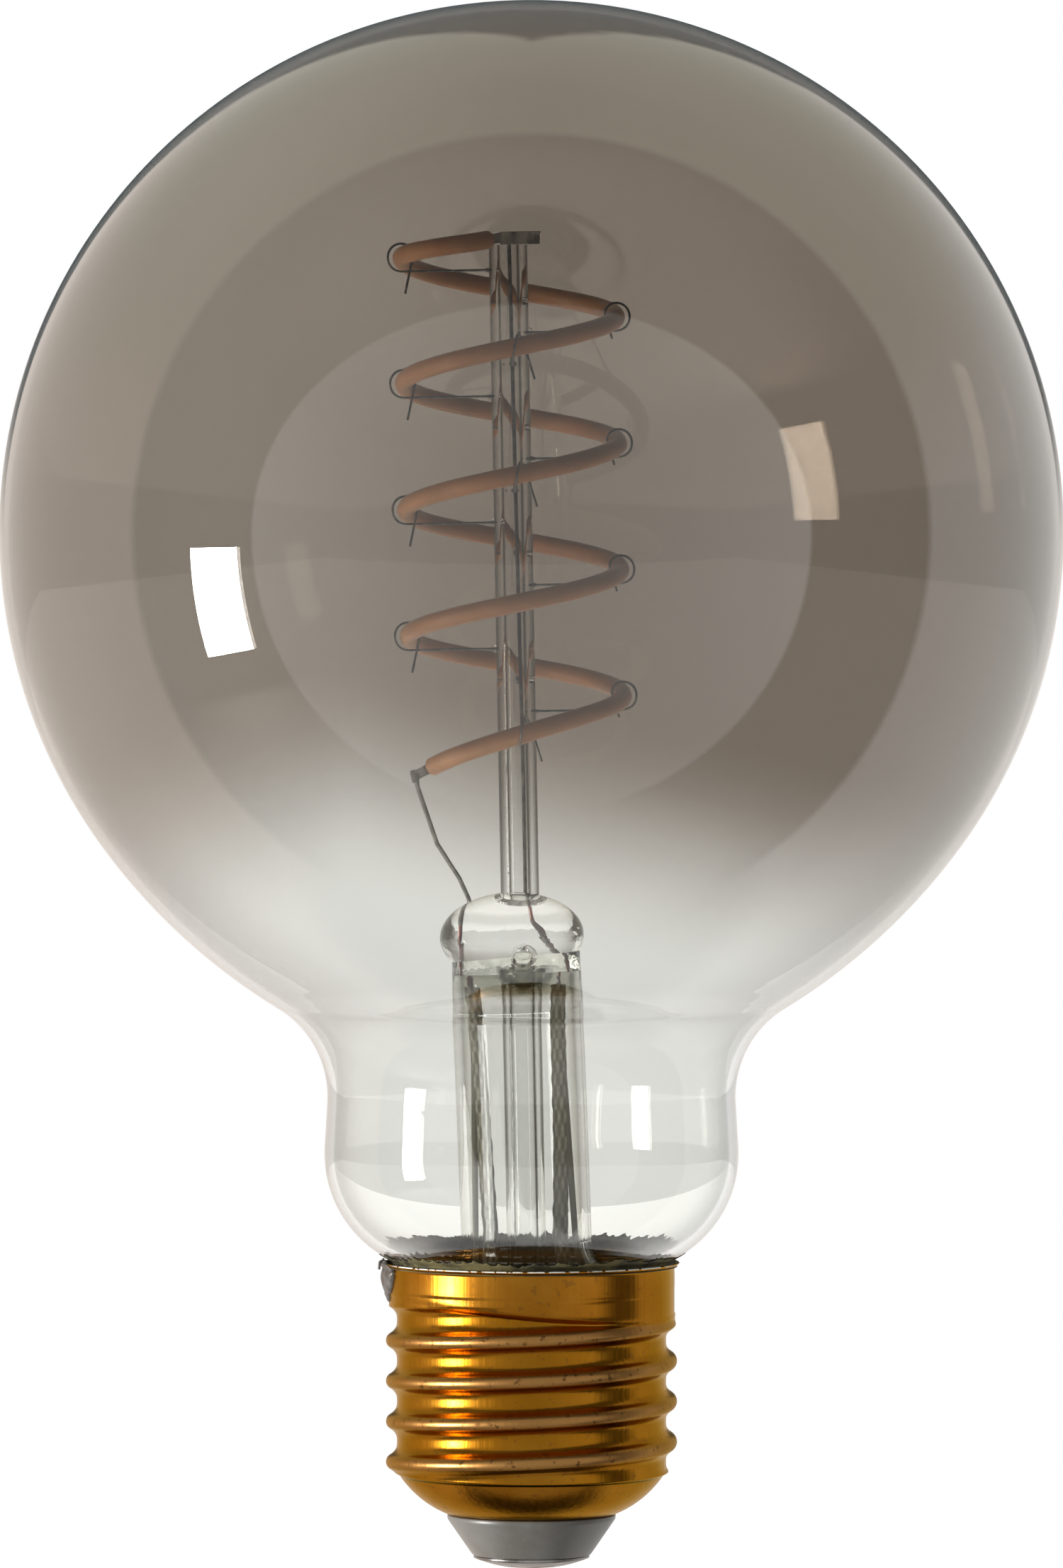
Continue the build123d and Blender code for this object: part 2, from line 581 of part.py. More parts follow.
# Driver: a round board in a plastic can that stands on the plug
insulating_sleeve = turned_points(
    (CAN_R - CAN_WALL, PLUG_INNER_Z), (CAN_R, PLUG_INNER_Z), (CAN_R, CAN_TOP_Z), (CAN_R - CAN_WALL, CAN_TOP_Z))
driver_board = Location((0, 0, BOARD_Z + BOARD_THICK / 2)) * Cylinder(CAN_R - CAN_WALL, BOARD_THICK)
for side in (-1, 1):
    driver_board = driver_board - Location((side * LEAD_HOLE_X, 0, BOARD_Z)) * Cylinder(
        OUTER_LEAD_R + LEAD_HOLE_CLEARANCE, 4 * BOARD_THICK)

can = Location((CAPACITOR_X, CAPACITOR_Y, BOARD_Z - CAPACITOR_H / 2)) * Cylinder(CAPACITOR_R, CAPACITOR_H)
smoothing_capacitor = fillet(can.edges().filter_by(GeomType.CIRCLE).sort_by(Axis.Z)[0], CAPACITOR_R / 6)

resistor_low_z = BOARD_Z - RESISTOR_LEG - RESISTOR_H
resistor_section = [
    (0, resistor_low_z - RESISTOR_LEG), (HIDDEN_WIRE_R, resistor_low_z - RESISTOR_LEG),
    (HIDDEN_WIRE_R, resistor_low_z), (RESISTOR_R, resistor_low_z),
    (RESISTOR_R, resistor_low_z + RESISTOR_H), (HIDDEN_WIRE_R, resistor_low_z + RESISTOR_H),
    (HIDDEN_WIRE_R, BOARD_Z), (0, BOARD_Z)]
fuse_resistor = Location((RESISTOR_X, RESISTOR_Y, 0)) * turned_points(*resistor_section)
leg_end = Vector(RESISTOR_X, RESISTOR_Y, resistor_low_z - RESISTOR_LEG)
contact_route = [
    leg_end, leg_end - Vector(0, 0, 0.7), Vector(0, 0, RIVET_TOP_Z + 0.8), Vector(0, 0, CONTACT_FLOOR + 1)]
contact_lead = wire_along(contact_route, 0.4, HIDDEN_WIRE_R)


def chip(x, legs):
    """Moulded body on short bent legs along both long sides."""
    body = Location((x, CHIP_Y, board_top_z + CHIP_LIFT + CHIP_HEIGHT / 2)) * Box(
        CHIP_LENGTH, CHIP_WIDTH, CHIP_HEIGHT)
    body = chamfer(body.edges().filter_by(Axis.X).sort_by(Axis.Z)[-2:], CHIP_HEIGHT / 6)
    step = CHIP_LENGTH / legs
    for side in (-1, 1):
        for i in range(legs):
            leg_x = x + step * (i - (legs - 1) / 2)
            leg_y = CHIP_Y + side * (CHIP_WIDTH / 2 + LEG_LENGTH / 2 - LEG_THICK)
            foot = Location((leg_x, leg_y, board_top_z + LEG_THICK / 2)) * Box(LEG_WIDTH, LEG_LENGTH, LEG_THICK)
            rise = Location((leg_x, CHIP_Y + side * (CHIP_WIDTH / 2 + LEG_THICK / 2), board_top_z + CHIP_HEIGHT / 3))
            body = body + foot + rise * Box(LEG_WIDTH, LEG_THICK, CHIP_HEIGHT * 2 / 3)
    return body


driver_chip = chip(CHIP_X, 4)
bridge_rectifier = chip(-CHIP_X, 2)


# Shell lead: from the board over the can, up beside the glass and over the rim into the solder
def at_angle(angle, r, z):
    return Vector(r * cos(radians(angle)), r * sin(radians(angle)), z)


gap_r = (SEAL_R + ROOT_R + ROOT_FLAT - BRASS) / 2
rim_pass_z = RIM_Z + SHELL_LEAD_R + 0.04
shell_route = [
    (CAN_R - 3 * CAN_WALL, board_top_z), (CAN_R - 3 * CAN_WALL, CAN_TOP_Z + 0.9), (gap_r, CAN_TOP_Z + 1.6),
    (gap_r, 25.4), (12.8, rim_pass_z - 0.05), (RIM_R + 0.3, rim_pass_z), (RIM_R + 0.35, RIM_Z - 0.6)]
shell_lead = wire_along([at_angle(SOLDER_ANGLE, *p) for p in shell_route], 0.25, SHELL_LEAD_R)

solder_frame = Rotation(0, 0, SOLDER_ANGLE)
solder_blank = (
    ellipsoid((COLLAR_R, 0, SOLDER_Z), SOLDER_OUT, SOLDER_HALF_W, SOLDER_HALF_H)
    + ellipsoid((COLLAR_R, 0, SOLDER_Z), DRIP_OUT, DRIP_HALF_W, DRIP_HALF_H))
rim_solder = solder_frame * solder_blank - cap_outside - cap_inside - glass_outside - shell_lead
rim_solder = rim_solder.solids().sort_by(SortBy.VOLUME)[-1]

cement_section = turned_points(
    (SEAL_R - 1, CEMENT_LOW_Z), (COLLAR_R - BRASS, CEMENT_LOW_Z), (COLLAR_R - BRASS, FLARE_OUT_Z),
    (RIM_R - BRASS, RIM_Z), (CEMENT_TOP_R, RIM_Z + CEMENT_SKIN), (CEMENT_TOP_R, RIM_Z + 4 * CEMENT_SKIN),
    (SEAL_R - 1, RIM_Z + 4 * CEMENT_SKIN))
cap_cement = cement_section - glass_outside - shell_lead - rim_solder
cap_cement = cap_cement.solids().sort_by(SortBy.VOLUME)[-1]

pieces = {
    "globe_envelope": globe_envelope,
    "stem_flare": stem_flare,
    "exhaust_tube": exhaust_tube,
    "support_tube": support_tube,
    "spiral_filament": spiral_filament,
    "filament_tab_top": filament_tab_top,
    "filament_tab_bottom": filament_tab_bottom,
    "top_plate": top_plate,
    "upper_lead": upper_lead,
    "lower_lead": lower_lead,
    "seal_wire_left": seal_wire_left,
    "seal_wire_right": seal_wire_right,
    "outer_lead_left": outer_lead_left,
    "outer_lead_right": outer_lead_right,
    "lead_sleeve_left": lead_sleeve_left,
    "lead_sleeve_right": lead_sleeve_right,
    "cap_cement": cap_cement,
    "cap_shell": cap_shell,
    "rim_solder": rim_solder,
    "cap_insulator": cap_insulator,
    "centre_contact": centre_contact,
    "insulating_sleeve": insulating_sleeve,
    "driver_board": driver_board,
    "bridge_rectifier": bridge_rectifier,
    "driver_chip": driver_chip,
    "smoothing_capacitor": smoothing_capacitor,
    "fuse_resistor": fuse_resistor,
    "contact_lead": contact_lead,
    "shell_lead": shell_lead,
}
for name, solids in hooks.items():
    pieces[name] = Compound(children=solids)

for name, shape in pieces.items():
    export_step(shape, f"parts/{name}.step")
    print(name, round(shape.volume, 3), "mm3", len(shape.solids()), "solids")
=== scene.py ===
import bpy
from math import acos, atan2, cos, degrees, hypot, pi, radians, sin, sqrt, tan
from mathutils import Matrix, Vector


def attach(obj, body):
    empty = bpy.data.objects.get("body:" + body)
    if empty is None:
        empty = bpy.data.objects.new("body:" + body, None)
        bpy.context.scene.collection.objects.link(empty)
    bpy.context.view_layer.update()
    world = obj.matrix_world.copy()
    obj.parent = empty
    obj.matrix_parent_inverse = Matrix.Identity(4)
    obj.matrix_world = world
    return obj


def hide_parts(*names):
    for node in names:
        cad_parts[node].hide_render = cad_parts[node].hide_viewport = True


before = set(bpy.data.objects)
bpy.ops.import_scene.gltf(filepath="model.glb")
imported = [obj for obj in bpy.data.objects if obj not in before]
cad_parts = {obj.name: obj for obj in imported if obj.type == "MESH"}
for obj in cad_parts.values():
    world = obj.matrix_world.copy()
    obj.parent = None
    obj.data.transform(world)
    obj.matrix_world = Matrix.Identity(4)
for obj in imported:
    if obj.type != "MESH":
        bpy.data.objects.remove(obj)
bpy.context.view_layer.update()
MM = 0.001


# Camera, light and floor.
# The bulb hangs level with the camera before a white sweep. The tent round it is white behind and at the
# sides, and dark in front but for one large pale disc. One window lamp stands at the left.
CAMERA_DISTANCE = 950.0
CAMERA_Z = 93.0
AIM_Z = 70.06
VIEW_HEIGHT = 140.15
TENT_EDGE = 95.0
DISC_EDGE = 62.0
SWEEP_Z = -260.0
FLOOR_HALF = 3.0
LAMP_WIDTH = 0.155
LAMP_HEIGHT = 0.235
LAMP_POWER = 8.0
LAMP_PLACE = (-0.679, -0.25, -0.055)
LAMP_AIM = (0, 0, 0.0925)

camera_data = bpy.data.cameras.new("camera")
camera_data.sensor_fit = "VERTICAL"
camera_data.sensor_height = 36.0
camera_data.lens = 36.0 * CAMERA_DISTANCE / VIEW_HEIGHT
camera_data.clip_start = 0.01
camera = bpy.data.objects.new("camera", camera_data)
camera.location = (0, -CAMERA_DISTANCE * MM, CAMERA_Z * MM)
camera.rotation_euler = (pi / 2 - atan2(CAMERA_Z - AIM_Z, CAMERA_DISTANCE), 0, 0)
bpy.context.collection.objects.link(camera)
bpy.context.scene.camera = camera
bpy.context.scene.view_settings.view_transform = "Standard"


class Nodes:
    """A short way to lay out a shader: each call adds a node and wires or sets its inputs by name."""

    def __init__(self, tree):
        self.tree = tree
        tree.nodes.clear()

    def add(self, kind, setup=None, **inputs):
        node = self.tree.nodes.new(kind)
        for key, value in (setup or {}).items():
            setattr(node, key, value)
        for key, value in inputs.items():
            self.put(node, key.replace("_", " "), value)
        return node

    def put(self, node, key, value):
        socket = node.inputs[int(key[1:])] if key[0] == "i" and key[1:].isdigit() else node.inputs[key]
        if isinstance(value, bpy.types.NodeSocket):
            self.tree.links.new(value, socket)
        else:
            socket.default_value = value

    def math(self, operation, *values):
        node = self.add("ShaderNodeMath", {"operation": operation})
        for i, value in enumerate(values):
            self.put(node, f"i{i}", value)
        return node.outputs[0]

    def ramp(self, fac, *stops):
        node = self.add("ShaderNodeValToRGB", Fac=fac)
        band = node.color_ramp
        while len(band.elements) < len(stops):
            band.elements.new(0.5)
        for element, (place, colour) in zip(band.elements, stops):
            element.position = place
            element.color = (*colour, 1)
        return node.outputs["Color"]

    def mix(self, fac, a, b):
        node = self.add("ShaderNodeMix", {"data_type": "RGBA"})
        for key, value in ((0, fac), (6, a), (7, b)):
            if isinstance(value, bpy.types.NodeSocket):
                self.tree.links.new(value, node.inputs[key])
            else:
                node.inputs[key].default_value = (*value, 1) if isinstance(value, tuple) else value
        return node.outputs[2]

    def between(self, value, low, high):
        """0 to 1 as value goes from low to high."""
        node = self.add("ShaderNodeMapRange", {"interpolation_type": "SMOOTHSTEP"})
        for key, item in (("Value", value), ("From Min", low), ("From Max", high)):
            self.put(node, key, item)
        return node.outputs[0]


world = bpy.data.worlds.new("tent")
bpy.context.scene.world = world
world.use_nodes = True
w = Nodes(world.node_tree)
way = w.add("ShaderNodeTexCoord").outputs["Generated"]
path = w.add("ShaderNodeLightPath").outputs
xyz = w.add("ShaderNodeSeparateXYZ", Vector=way).outputs
to_front = w.math("MULTIPLY", xyz["Y"], -1.0)
behind = w.between(to_front, cos(radians(TENT_EDGE - 1.5)), cos(radians(TENT_EDGE + 1.5)))
raised = w.math("MAXIMUM", xyz["Z"], 0.0)
to_disc = w.math("SUBTRACT", to_front, w.math("MULTIPLY", w.math("MULTIPLY", raised, raised), 0.3))
in_disc = w.between(to_disc, cos(radians(DISC_EDGE + 0.7)), cos(radians(DISC_EDGE - 0.7)))
leftness = w.between(xyz["X"], 0.9, -0.9)
dark = w.mix(leftness, (0.12, 0.12, 0.12), (0.27, 0.27, 0.27))
disc = w.mix(w.math("MULTIPLY", xyz["X"], xyz["X"]), (0.56, 0.57, 0.56), (1.1, 1.1, 1.08))
front = w.mix(in_disc, dark, disc)
wall = w.mix(leftness, (0.92, 0.92, 0.9), (1.0, 0.86, 0.76))
wall = w.mix(w.between(xyz["Z"], 0.1, 0.6), wall, (0.68, 0.67, 0.57))
tent = w.mix(behind, front, wall)
sideways = w.math("ABSOLUTE", xyz["X"])
torn = w.add("ShaderNodeTexNoise", Vector=way, Scale=7.0, Detail=4.0).outputs["Fac"]
above = w.math("SUBTRACT", xyz["Y"], w.math("MULTIPLY", sideways, 0.9))
above = w.math("ADD", above, w.math("MULTIPLY", torn, 0.08))
gap = w.math("MULTIPLY", w.between(above, 0.7, 0.75), w.between(xyz["Z"], -0.02, 0.08))
tent = w.mix(gap, tent, (0.06, 0.08, 0.09))
table = w.mix(w.between(to_front, 0.1, -0.15), (0.5, 0.48, 0.44), (0.05, 0.045, 0.035))
tent = w.mix(w.between(xyz["Z"], -0.78, -0.9), tent, table)
soft = w.mix(leftness, (0.62, 0.61, 0.6), (0.95, 0.95, 0.95))
room = w.mix(path["Is Glossy Ray"], soft, tent)
through = w.mix(w.between(xyz["Y"], 0.4, 0.95), (0.12, 0.11, 0.08), (1.0, 1.0, 1.0))
sky = w.mix(path["Is Transmission Ray"], room, through)
sky = w.mix(path["Is Camera Ray"], sky, (1.0, 1.0, 1.0))
backdrop = w.add("ShaderNodeBackground", Color=sky, Strength=1.0)
w.add("ShaderNodeOutputWorld", Surface=backdrop.outputs[0])

lamp_data = bpy.data.lights.new("window_lamp", "AREA")
lamp_data.shape = "RECTANGLE"
lamp_data.size = LAMP_WIDTH
lamp_data.size_y = LAMP_HEIGHT
lamp_data.energy = LAMP_POWER
lamp = bpy.data.objects.new("window_lamp", lamp_data)
lamp.location = LAMP_PLACE
lamp.rotation_euler = (Vector(LAMP_AIM) - lamp.location).to_track_quat("-Z", "Y").to_euler()
lamp.visible_camera = False
bpy.context.collection.objects.link(lamp)

floor_mesh = bpy.data.meshes.new("floor")
floor_corners = [(x * FLOOR_HALF, y * FLOOR_HALF, SWEEP_Z * MM) for x, y in ((-1, -1), (1, -1), (1, 1), (-1, 1))]
floor_mesh.from_pydata(floor_corners, [], [(0, 1, 2, 3)])
floor = bpy.data.objects.new("floor", floor_mesh)
bpy.context.collection.objects.link(floor)
floor_paint = bpy.data.materials.new("floor_paint")
floor_paint.use_nodes = True
f = Nodes(floor_paint.node_tree)
path = f.add("ShaderNodeLightPath").outputs
seen = f.math("MAXIMUM", path["Is Camera Ray"], path["Is Transmission Ray"])
glow = f.add("ShaderNodeEmission", Color=(1, 1, 1, 1), Strength=seen)
sheet = f.add("ShaderNodeBsdfDiffuse", Color=(0.5, 0.5, 0.5, 1))
both = f.add("ShaderNodeAddShader")
f.tree.links.new(glow.outputs[0], both.inputs[0])
f.tree.links.new(sheet.outputs[0], both.inputs[1])
f.add("ShaderNodeOutputMaterial", Surface=both.outputs[0])
floor_mesh.materials.append(floor_paint)
floor.visible_glossy = False


# Stem glass.
# The flare tube, the tipped-off exhaust tube and the tube that carries the hooks are drawn lead-free glass.
# They were melted together into the thick seal ball. Where the glass is seen edge-on it shows dark, partly
# its own tint over the longer path and mostly painted shade; the dark ring round the exhaust hole and a thin
# dark band across the upper ball are painted shade too.

def new_paint(name):
    """A material with its node layout helper and its Principled shader."""
    material = bpy.data.materials.new(name)
    material.use_nodes = True
    n = Nodes(material.node_tree)
    shader = n.add("ShaderNodeBsdfPrincipled")
    n.add("ShaderNodeOutputMaterial", Surface=shader.outputs[0])
    return material, n, shader


def set_plain(shader, **values):
    for key, value in values.items():
        shader.inputs[key.replace("_", " ")].default_value = value


def finish_nodes(material, *names):
    for name in names:
        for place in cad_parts[name].material_slots:
            place.material = material


clear_glass, n, glass = new_paint("clear_stem_glass")
set_plain(glass, Roughness=0.0, IOR=1.5, Transmission_Weight=1.0)
# Darker where the glass is seen edge-on: partly the glass's own tint over a longer path, mostly painted shade for
# the dark surroundings seen through the edges.
edge = n.add("ShaderNodeLayerWeight", Blend=0.5).outputs["Facing"]
edge_tint_and_shade = n.ramp(edge, (0.0, (0.97, 0.972, 0.965)), (0.45, (0.9, 0.9, 0.875)), (0.75, (0.52, 0.49, 0.42)),
                  (1.0, (0.16, 0.14, 0.1)))
place = n.add("ShaderNodeTexCoord").outputs["Object"]
spot = n.add("ShaderNodeSeparateXYZ", Vector=place).outputs
cloud = n.add("ShaderNodeTexNoise", Vector=place, Scale=420.0, Detail=4.0).outputs["Fac"]
level = n.math("ADD", spot["Z"], n.math("MULTIPLY", cloud, 0.0008))
# A thin dark band across the upper ball: painted shade, standing for the dark surroundings refracted by the ball.
painted_shade_band = n.between(n.math("ABSOLUTE", n.math("SUBTRACT", level, 0.0586)), 0.0007, 0.0002)
press_zone = n.math("MULTIPLY", n.between(level, 0.0518, 0.0524), n.between(level, 0.0561, 0.0553))
tone = n.mix(n.math("MULTIPLY", painted_shade_band, 0.6), edge_tint_and_shade, (0.42, 0.4, 0.36))
pressed = n.math("MULTIPLY", press_zone, n.math("ADD", 0.25, n.math("MULTIPLY", cloud, 0.7)))
tone = n.mix(pressed, tone, (0.42, 0.42, 0.33))
# A dark ring round the exhaust hole, stronger below and laid on flat across the ball: painted shade for the hole's
# edge seen through the glass.
across = n.math("DIVIDE", n.math("ADD", spot["X"], 0.0006), 0.0023)
upward = n.math("DIVIDE", n.math("SUBTRACT", level, 0.0541), 0.0014)
hole_shade_ring = n.math("ADD", n.math("MULTIPLY", across, across), n.math("MULTIPLY", upward, upward))
hole_shade_ring = n.math("MULTIPLY", n.between(hole_shade_ring, 0.55, 0.9), n.between(hole_shade_ring, 1.35, 1.05))
hole_shade_ring = n.math("MULTIPLY", hole_shade_ring, n.between(upward, 1.3, -0.9))
tone = n.mix(n.math("MULTIPLY", hole_shade_ring, 0.8), tone, (0.2, 0.22, 0.18))
n.put(glass, "Base Color", tone)
melted = n.math("MULTIPLY", n.between(level, 0.052, 0.054), n.between(level, 0.0585, 0.057))
melt = n.math("MULTIPLY", cloud, melted)
n.put(glass, "Normal", n.add("ShaderNodeBump", Strength=0.5, Distance=0.0003, Height=melt).outputs[0])
finish_nodes(clear_glass, "stem_flare", "exhaust_tube", "support_tube")


# Spiral filament.
# A flexible strip of diodes in amber silicone, wound by hand as one long helix round the support tube. Its
# top end turns in to the metal strip, its low end is crimped in a short bulge.
STEM_X = -0.475
STEM_Z = 30.0
FLARE_LEAN = 2.12
SUPPORT_LEAN = 1.06
COIL_R = 9.5
COIL_PITCH = 11.28
COIL_Z_RIGHT = 77.8
COIL_FROM = -138.5
COIL_TO = 1260.0
COIL_END_R = 4.25
COIL_END_TURN = 143.4
COIL_END_RISE = 1.35
STRIP_R = 0.83
END_BULGE = 1.14
END_LENGTH = 0.6
STRIP_SIDES = 24
COIL_STEP = 3.0
SAG = 1.35
SAG_FROM = -45.0


def show(name, mesh, slot, material, *nodes):
    """Puts a finished mesh in the scene as a piece of the bulb that stands for CAD nodes."""
    obj = bpy.data.objects.new(name, mesh)
    bpy.context.collection.objects.link(obj)
    mesh.materials.clear()
    mesh.materials.append(material)
    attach(obj, "root")
    if nodes:
        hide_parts(*nodes)
    return obj


def grain_group():
    """Shared surface grain: a mottled mask and a fine relief, both sized by the material that uses them."""
    group = bpy.data.node_groups.new("grain", "ShaderNodeTree")
    n = Nodes(group)
    for name, kind, value in (("Scale", "NodeSocketFloat", 500.0), ("Low", "NodeSocketFloat", 0.35),
                              ("High", "NodeSocketFloat", 0.65), ("Relief", "NodeSocketFloat", 0.2)):
        group.interface.new_socket(name, in_out="INPUT", socket_type=kind).default_value = value
    group.interface.new_socket("Mask", in_out="OUTPUT", socket_type="NodeSocketFloat")
    group.interface.new_socket("Normal", in_out="OUTPUT", socket_type="NodeSocketVector")
    given = n.add("NodeGroupInput").outputs
    place = n.add("ShaderNodeTexCoord").outputs["Object"]
    cloud = n.add("ShaderNodeTexNoise", Vector=place, Scale=given["Scale"], Detail=5.0).outputs["Fac"]
    mask = n.between(cloud, given["Low"], given["High"])
    bump = n.add("ShaderNodeBump", Strength=given["Relief"], Distance=0.0001, Height=cloud)
    n.add("NodeGroupOutput", Mask=mask, Normal=bump.outputs[0])
    return group


grain = grain_group()


def grained(name, dark, light, rough, scale=500.0, relief=0.2, **plain):
    """A material that goes from a dark to a light colour and roughness with the shared grain."""
    material, n, shader = new_paint(name)
    texture = n.add("ShaderNodeGroup", {"node_tree": grain}, Scale=scale, Relief=relief)
    mask = texture.outputs["Mask"]
    n.put(shader, "Base Color", n.mix(mask, dark, light))
    n.put(shader, "Roughness", n.math("ADD", n.math("MULTIPLY", mask, rough[1] - rough[0]), rough[0]))
    n.put(shader, "Normal", texture.outputs["Normal"])
    set_plain(shader, **plain)
    return material, n, shader


def leaning(angle):
    """The frame of a stem tube: tilted about its foot, in mm."""
    return (Matrix.Translation((STEM_X, 0, STEM_Z)) @ Matrix.Rotation(radians(-angle), 4, "Y")
            @ Matrix.Translation((0, 0, -STEM_Z)))


support_frame = leaning(SUPPORT_LEAN)
flare_frame = leaning(FLARE_LEAN)


def path_object(name, points, radii=None):
    """A curve of one poly spline, points in mm in the bulb's frame."""
    curve = bpy.data.curves.new(name, "CURVE")
    curve.dimensions = "3D"
    spline = curve.splines.new("POLY")
    spline.points.add(len(points) - 1)
    for i, point in enumerate(points):
        spline.points[i].co = (*(Vector(point) * MM), 1)
        spline.points[i].radius = radii[i] if radii else 1.0
    obj = bpy.data.objects.new(name, curve)
    bpy.context.collection.objects.link(obj)
    return obj


def new_geometry_tree(name, inputs):
    tree = bpy.data.node_groups.new(name, "GeometryNodeTree")
    tree.interface.new_socket("Geometry", in_out="INPUT", socket_type="NodeSocketGeometry")
    keys = {}
    for label, kind in inputs:
        keys[label] = tree.interface.new_socket(label, in_out="INPUT", socket_type=kind).identifier
    tree.interface.new_socket("Mesh", in_out="OUTPUT", socket_type="NodeSocketGeometry")
    return tree, keys


def baked(obj, tree, keys, values):
    """Runs a node tree on an object, keeps the result as a plain mesh and removes the helper object."""
    modifier = obj.modifiers.new(tree.name, "NODES")
    modifier.node_group = tree
    for label, value in values.items():
        modifier[keys[label]] = value
    bpy.context.view_layer.update()
    graph = bpy.context.evaluated_depsgraph_get()
    mesh = bpy.data.meshes.new_from_object(obj.evaluated_get(graph))
    obj.modifiers.remove(modifier)
    bpy.data.objects.remove(obj)
    mesh.name = tree.name
    return mesh


def swept(n, path, radius, sides):
    """A round section run along a path, with closed ends."""
    ring = n.add("GeometryNodeCurvePrimitiveCircle", Resolution=sides, Radius=radius)
    sweep = n.add("GeometryNodeCurveToMesh", Curve=path, Profile_Curve=ring.outputs["Curve"], Fill_Caps=True)
    return sweep.outputs["Mesh"]


def hand_out(n, geometry, finish):
    """Ends a node tree: real geometry, smooth, in its material."""
    solid = n.add("GeometryNodeRealizeInstances", Geometry=geometry)
    smooth = n.add("GeometryNodeSetShadeSmooth", Geometry=solid.outputs[0])
    dressed = n.add("GeometryNodeSetMaterial", Geometry=smooth.outputs[0], Material=finish)
    n.add("NodeGroupOutput", Mesh=dressed.outputs[0])


def tube_tree():
    """Sweeps a round section along the given path."""
    tree, keys = new_geometry_tree("swept_strip", (
        ("Section radius", "NodeSocketFloat"), ("Sides", "NodeSocketInt"), ("Finish", "NodeSocketMaterial")))
    n = Nodes(tree)
    given = n.add("NodeGroupInput").outputs
    hand_out(n, swept(n, given["Geometry"], given["Section radius"], given["Sides"]), given["Finish"])
    return tree, keys


def coil_points():
    points, radii = [], []
    low = COIL_FROM - degrees(END_LENGTH / COIL_R)
    steps = int((COIL_TO - low) / COIL_STEP)
    for i in range(steps + 1):
        angle = low + (COIL_TO - low) * i / steps
        away = (angle - low) * COIL_R * pi / 180
        sag = SAG * max(0.0, (SAG_FROM - angle) / (SAG_FROM - COIL_FROM)) ** 1.6
        points.append((COIL_R * cos(radians(angle)), COIL_R * sin(radians(angle)),
                       COIL_Z_RIGHT + COIL_PITCH * angle / 360 - sag))
        radii.append(END_BULGE if away < 2 * END_LENGTH else 1.0 + 0.02 * sin(angle * 0.05))
    turns = int(COIL_END_TURN / COIL_STEP)
    for i in range(1, turns + 1):
        angle = COIL_TO + COIL_END_TURN * i / turns
        points.append((COIL_END_R - COIL_R + COIL_END_R * cos(radians(angle)), COIL_END_R * sin(radians(angle)),
                       COIL_Z_RIGHT + COIL_PITCH * COIL_TO / 360 + COIL_END_RISE * i / turns))
        radii.append(1.0)
    for k, shrink in ((0, 0.62), (1, 0.95), (-1, 0.6), (-2, 0.93)):
        radii[k] *= shrink
    return [Vector(p) for p in points], radii


amber, _, silicone = grained(
    "amber_silicone", (0.48, 0.235, 0.095), (0.58, 0.3, 0.135), (0.28, 0.4), scale=220.0, relief=0.05)
set_plain(silicone, Subsurface_Weight=0.35, Subsurface_Radius=(0.0012, 0.0006, 0.0003), Subsurface_Scale=1.0,
          IOR=1.41)
sweep_tree, sweep_keys = tube_tree()
coil, coil_radii = coil_points()
coil_path = path_object("coil_path", [support_frame @ p for p in coil], coil_radii)
coil_mesh = baked(coil_path, sweep_tree, sweep_keys, {
    "Section radius": STRIP_R * MM, "Sides": STRIP_SIDES, "Finish": amber})
show("silicone_filament", coil_mesh, "filament_silicone", amber, "spiral_filament")


# Nickel parts.
# The flat ends of the filament, the folded strip at the top and the two leads inside the globe are nickel-
# plated steel, spot-welded to one another. The upper lead is burnt dark half-way up the support tube.
TAB_WIDTH = 0.9
TAB_THICK = 0.16
TAB_LENGTH = 3.2
TAB_STEPS = ((0.0, 0.8), (0.25, 1.0), (0.8, 1.0), (0.84, 1.25), (0.97, 1.25), (1.0, 1.0))
LEAD_R = 0.175
LEAD_THICKEN = 1.15
LEAD_SIDES = 12
LEAD_BEND = 0.8
LEAD_X = -4.0
LEAD_MIDDLE = ((-7.3, -1.9, 64.9), (-5.4, -0.7, 61.8))
LEAD_LOW_Z = (59.9, 57.0)

nickel = grained(
    "nickel", (0.42, 0.41, 0.37), (0.75, 0.73, 0.68), (0.22, 0.42), scale=900.0, Metallic=1.0)[0]
finish_nodes(nickel, "filament_tab_top", "top_plate")
dull_steel, n, metal = grained(
    "dull_steel", (0.1, 0.095, 0.08), (0.26, 0.25, 0.22), (0.3, 0.5), scale=1100.0, Metallic=0.85)
lead_height = n.add("ShaderNodeSeparateXYZ", Vector=n.add("ShaderNodeTexCoord").outputs["Object"]).outputs["Z"]
burnt = n.math("MULTIPLY", n.between(lead_height, 0.0785, 0.0795), n.between(lead_height, 0.0885, 0.0875))
steel_tone = metal.inputs["Base Color"].links[0].from_socket
n.put(metal, "Base Color", n.mix(burnt, steel_tone, (0.035, 0.006, 0.008)))
finish_nodes(dull_steel, "upper_lead")

